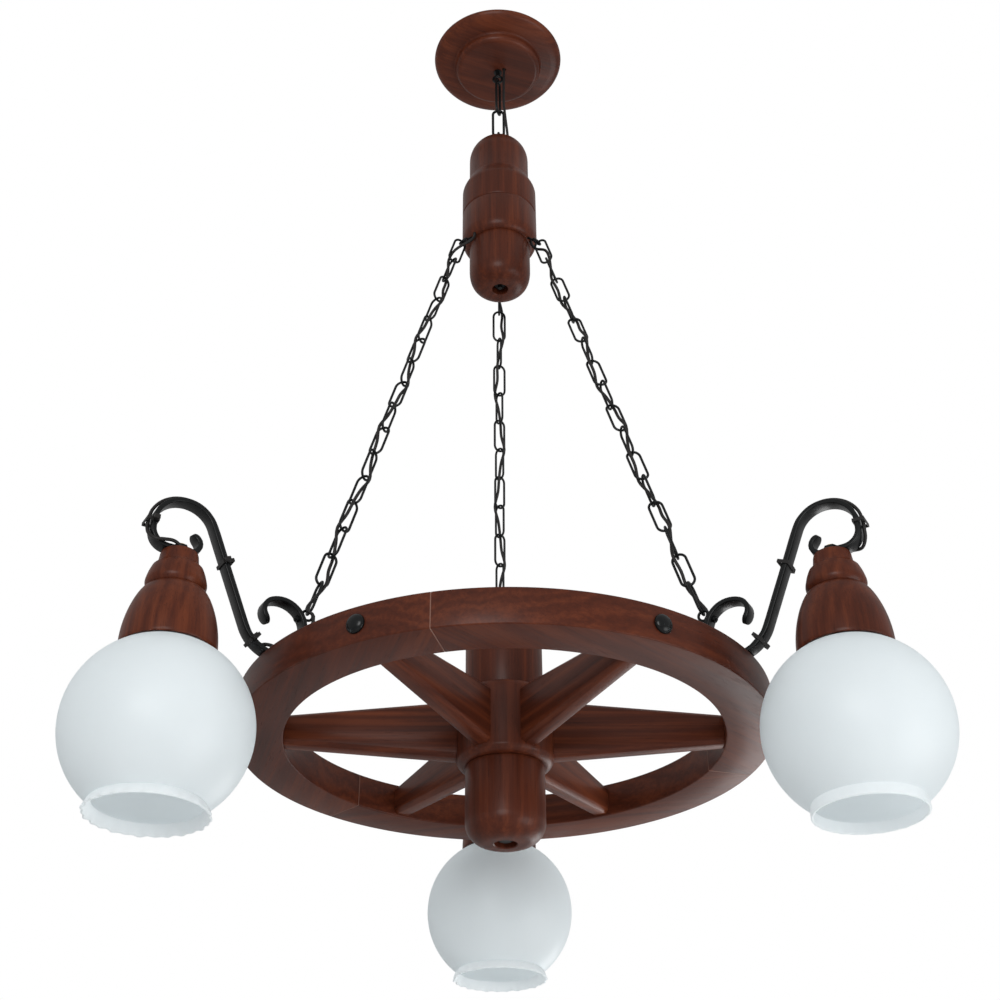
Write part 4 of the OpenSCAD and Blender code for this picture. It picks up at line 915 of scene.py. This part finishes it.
# ---------- The object, dressed ----------

woods = {}
for slot, grain, warmth in [
        ("rose", along(20, (0.3, 0.1, 0.2)), 0.52), ("crown", upright((0.013, 0.02, 0.4)), 0.50),
        ("cup", upright((0.021, -0.012, 0.9)), 0.49), ("middle", upright((0.03, 0.01, 1.7)), 0.47),
        ("boss_top", upright((0.5, 0.01, 1.1)), 0.46), ("boss_foot", upright((-0.02, 0.017, 2.2)), 0.50),
        ("holder_left", upright((0.4, 0.2, 0.1), 0.4), 0.56), ("holder_right", upright((0.1, 0.5, 0.7), 1.3), 0.56),
        ("holder_rear", upright((0.7, 0.3, 0.5), 2.2), 0.52)]:
    woods[slot] = stained_wood("wood_" + slot, grain, warmth)
# The felloes' tones carry painted light: the left felloe is darker as painted shade and the front-right one a little
# lighter as painted light; the rest is the wood's own tone.
FELLOE_TONE_AND_SHADE, SPOKE_WARMTH, SPOKE_FIGURE = (0.50, 0.44, 0.52), 0.50, 1.3
LIPS = {"left": (4.2, 1.2), "right": (0.6, 0.3), "rear": (4.0, 1.1)}

pale_joint = plain("joint_line", (0.22, 0.11, 0.08), (0.30, 0.16, 0.12), 300.0, 0.6)
forged = iron("forged_iron", 0.5)
drawn = iron("chain_iron", 0.15, 0.36)
bolt_iron = iron("bolt_iron", 0.12, 0.22)
cable = plain("cable_sheath", (0.009, 0.008, 0.008), (0.016, 0.014, 0.013), 700.0, 0.5, specular=0.3)
opal = opal_glass()
steel = plain("zinc_plate", (0.42, 0.42, 0.41), (0.52, 0.52, 0.50), 500.0, 0.34, metal=1.0)
brass = plain("brass", (0.62, 0.42, 0.16), (0.70, 0.50, 0.22), 500.0, 0.3, metal=1.0)
moulded = plain("moulded_black", (0.022, 0.019, 0.018), (0.034, 0.030, 0.028), 400.0, 0.32)
porcelain = plain("glazed_white", (0.72, 0.70, 0.65), (0.80, 0.78, 0.73), 300.0, 0.22)


def dress(piece, body, slot, *stands_for):
    """Puts a finished piece on its body, in place of CAD nodes."""
    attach(piece, body)
    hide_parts(*stands_for)
    return piece


dress(ceiling_rose(woods["rose"]), "canopy", "turned_wood", "canopy_rose")
dress(hub_crown(woods["crown"]), "gathering_hub", "turned_wood", "hub_crown")
dress(hub_cup(woods["cup"]), "gathering_hub", "turned_wood", "hub_cup")
dress(wheel_hub(woods["middle"]), "wheel", "turned_wood", "wheel_hub")
dress(wheel_boss("wheel_hub_upper_end", woods["boss_top"], 1), "wheel", "turned_wood", "wheel_hub_top")
dress(wheel_boss("wheel_hub_lower_end", woods["boss_foot"], -1), "wheel", "turned_wood", "wheel_hub_foot")

for index in range(FELLOES):
    chord = FIRST_JOINT + THIRD * (index + 0.5) + 90
    wood = stained_wood(f"wood_felloe_{index + 1}", along(chord, (0.21 * index, 0.4, 0.13 * index)),
                        FELLOE_TONE_AND_SHADE[index])
    dress(felloe(index, wood, pale_joint), "wheel", "wheel_wood", f"felloe_{index + 1}")

for index in range(SPOKES):
    wood = stained_wood(f"wood_spoke_{index + 1}", along(360 / SPOKES * index, (0.3 * index, 0.2, 0.17 * index)),
                        SPOKE_WARMTH, SPOKE_FIGURE)
    dress(spoke(index, wood), "wheel", "spoke_wood", f"spoke_{index + 1}")

dress(rim_bolts(bolt_iron), "wheel", "wrought_iron", "rim_bolts")

for side, azimuth in LAMPS.items():
    dress(scroll_arm("scroll_arm_" + side, azimuth, forged), "wheel", "wrought_iron", "arm_" + side)
    holder = lamp_holder("lamp_holder_" + side, azimuth, woods["holder_" + side])
    dress(holder, "wheel", "turned_wood", "holder_" + side)
    dress(globe("globe_" + side, azimuth, opal, *LIPS[side]), "wheel", "opal_glass", "glass_" + side)
    # the chain and its cable run from the hub down to the wheel; start and end are the ends of a slanting line out
    # and down from the chain's top
    start = Vector(at(azimuth, CHAIN_TOP[0], 0, CHAIN_TOP[1])) * MM
    end = Vector(at(azimuth, CHAIN_TOP[0] + CHAIN_REACH, 0, CHAIN_TOP[1] - CHAIN_FALL)) * MM
    links = chain("chain_links_" + side, azimuth, drawn)
    lead = tube("lamp_cable_sheath_" + side, lamp_cable_path(azimuth), CABLE_D, cable)
    for piece, slot, node in ((links, "chain_iron", "chain_" + side), (lead, "black_cable", "lamp_cable_" + side)):
        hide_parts(node)
        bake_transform(piece)

route = supply_path()
cuts = [0, *(next(i for i, p in enumerate(route) if p.z < height) for height in FEED_CUTS), len(route) - 1]
for index, (high, low) in enumerate(FEED_SPANS):
    stretch = route[cuts[index]:cuts[index + 1] + 1]
    piece = tube(f"feed_cable_{index + 1}", stretch, CABLE_D, cable)
    free_cord(stretch)
    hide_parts("supply_cable")
    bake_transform(piece)

# the CAD solids that stay in the picture take the same finishes
FINISH = {"wrought_iron": forged, "chain_iron": drawn, "bracket_steel": steel, "brass": brass,
          "black_cable": cable, "black_plastic": moulded, "white_ceramic": porcelain, "opal_glass": opal,
          "turned_wood": woods["crown"], "wheel_wood": woods["middle"], "spoke_wood": woods["middle"]}
for part in frame["record"]["subparts"]:
    mesh = frame["nodes"][part["node"]].data
    mesh.materials.clear()
    mesh.materials.append(FINISH[part["material_slot"]])


# ---------- Camera, light and backdrop ----------

CAMERA_AT = (-0.029, -1.2704, -1.4855)
PITCH, TURN, ROLL = 0.5702, 0.0210, -0.0093
FLOOR_Z = -2.4
# The world's strength as light and in reflections, where the camera sees it at 1
WORLD_LIGHT = 0.57


def camera():
    """The photograph's view: from below and in front, looking up at the wheel. Angles in radians."""
    data = bpy.data.cameras.new("camera")
    data.lens, data.sensor_width, data.clip_start, data.clip_end = 52.5, 36, 0.02, 30
    made = bpy.data.objects.new("camera", data)
    bpy.context.scene.collection.objects.link(made)
    ahead = Vector((math.sin(TURN) * math.cos(PITCH), math.cos(TURN) * math.cos(PITCH), math.sin(PITCH)))
    right = Vector((math.cos(TURN), -math.sin(TURN), 0))
    up = right.cross(ahead)
    level = math.cos(ROLL) * right + math.sin(ROLL) * up
    crown = math.cos(ROLL) * up - math.sin(ROLL) * right
    made.matrix_world = Matrix((*(tuple(row) for row in zip(level, crown, -ahead, CAMERA_AT)), (0, 0, 0, 1)))
    bpy.context.scene.camera = made


def softbox(name, place, aim, size, watts):
    """A round white lamp at a place, turned to its aim."""
    data = bpy.data.lights.new(name, "AREA")
    data.shape, data.size, data.energy = "DISK", size, watts
    made = bpy.data.objects.new(name, data)
    made.location = place
    made.rotation_euler = (Vector(aim) - Vector(place)).to_track_quat("-Z", "Y").to_euler()
    bpy.context.scene.collection.objects.link(made)


def white_room():
    """A plain floor below the lamp, and a world that the camera sees as white and that lights things more softly."""
    bpy.ops.mesh.primitive_grid_add(x_subdivisions=8, y_subdivisions=8, size=14, location=(0, 0, FLOOR_Z))
    floor = bpy.context.object
    floor.name = "floor"
    matt = Finish("floor_paint", Roughness=0.85)
    matt.set(Base_Color=matt.mix(matt.noise(matt.place(), 3.0), (0.70, 0.70, 0.70), (0.74, 0.74, 0.74)))
    floor.data.materials.append(matt.material)
    floor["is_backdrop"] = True
    world = bpy.data.worlds.new("room")
    bpy.context.scene.world = world
    world.use_nodes = True
    tree = world.node_tree
    rays = tree.nodes.new("ShaderNodeLightPath")
    seen = Field(tree, rays.outputs["Is Camera Ray"])
    through = Field(tree, rays.outputs["Is Transmission Ray"])
    shown = Field.calc(tree, "MAXIMUM", seen, through)
    background = tree.nodes["Background"]
    background.inputs["Color"].default_value = (1, 1, 1, 1)
    join(tree, Field.calc(tree, "MAXIMUM", shown, WORLD_LIGHT), background.inputs["Strength"])


camera()
white_room()
softbox("window", (-0.45, -2.9, -0.75), (0, 0, -0.75), 1.4, 34)
softbox("side_light", (1.9, -0.9, -1.9), (0.1, 0, -0.85), 1.6, 22)
softbox("back_light", (1.2, 2.1, -1.8), (0.1, 0, -0.8), 1.2, 16)
bpy.context.scene.view_settings.view_transform = "Standard"

low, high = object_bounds()
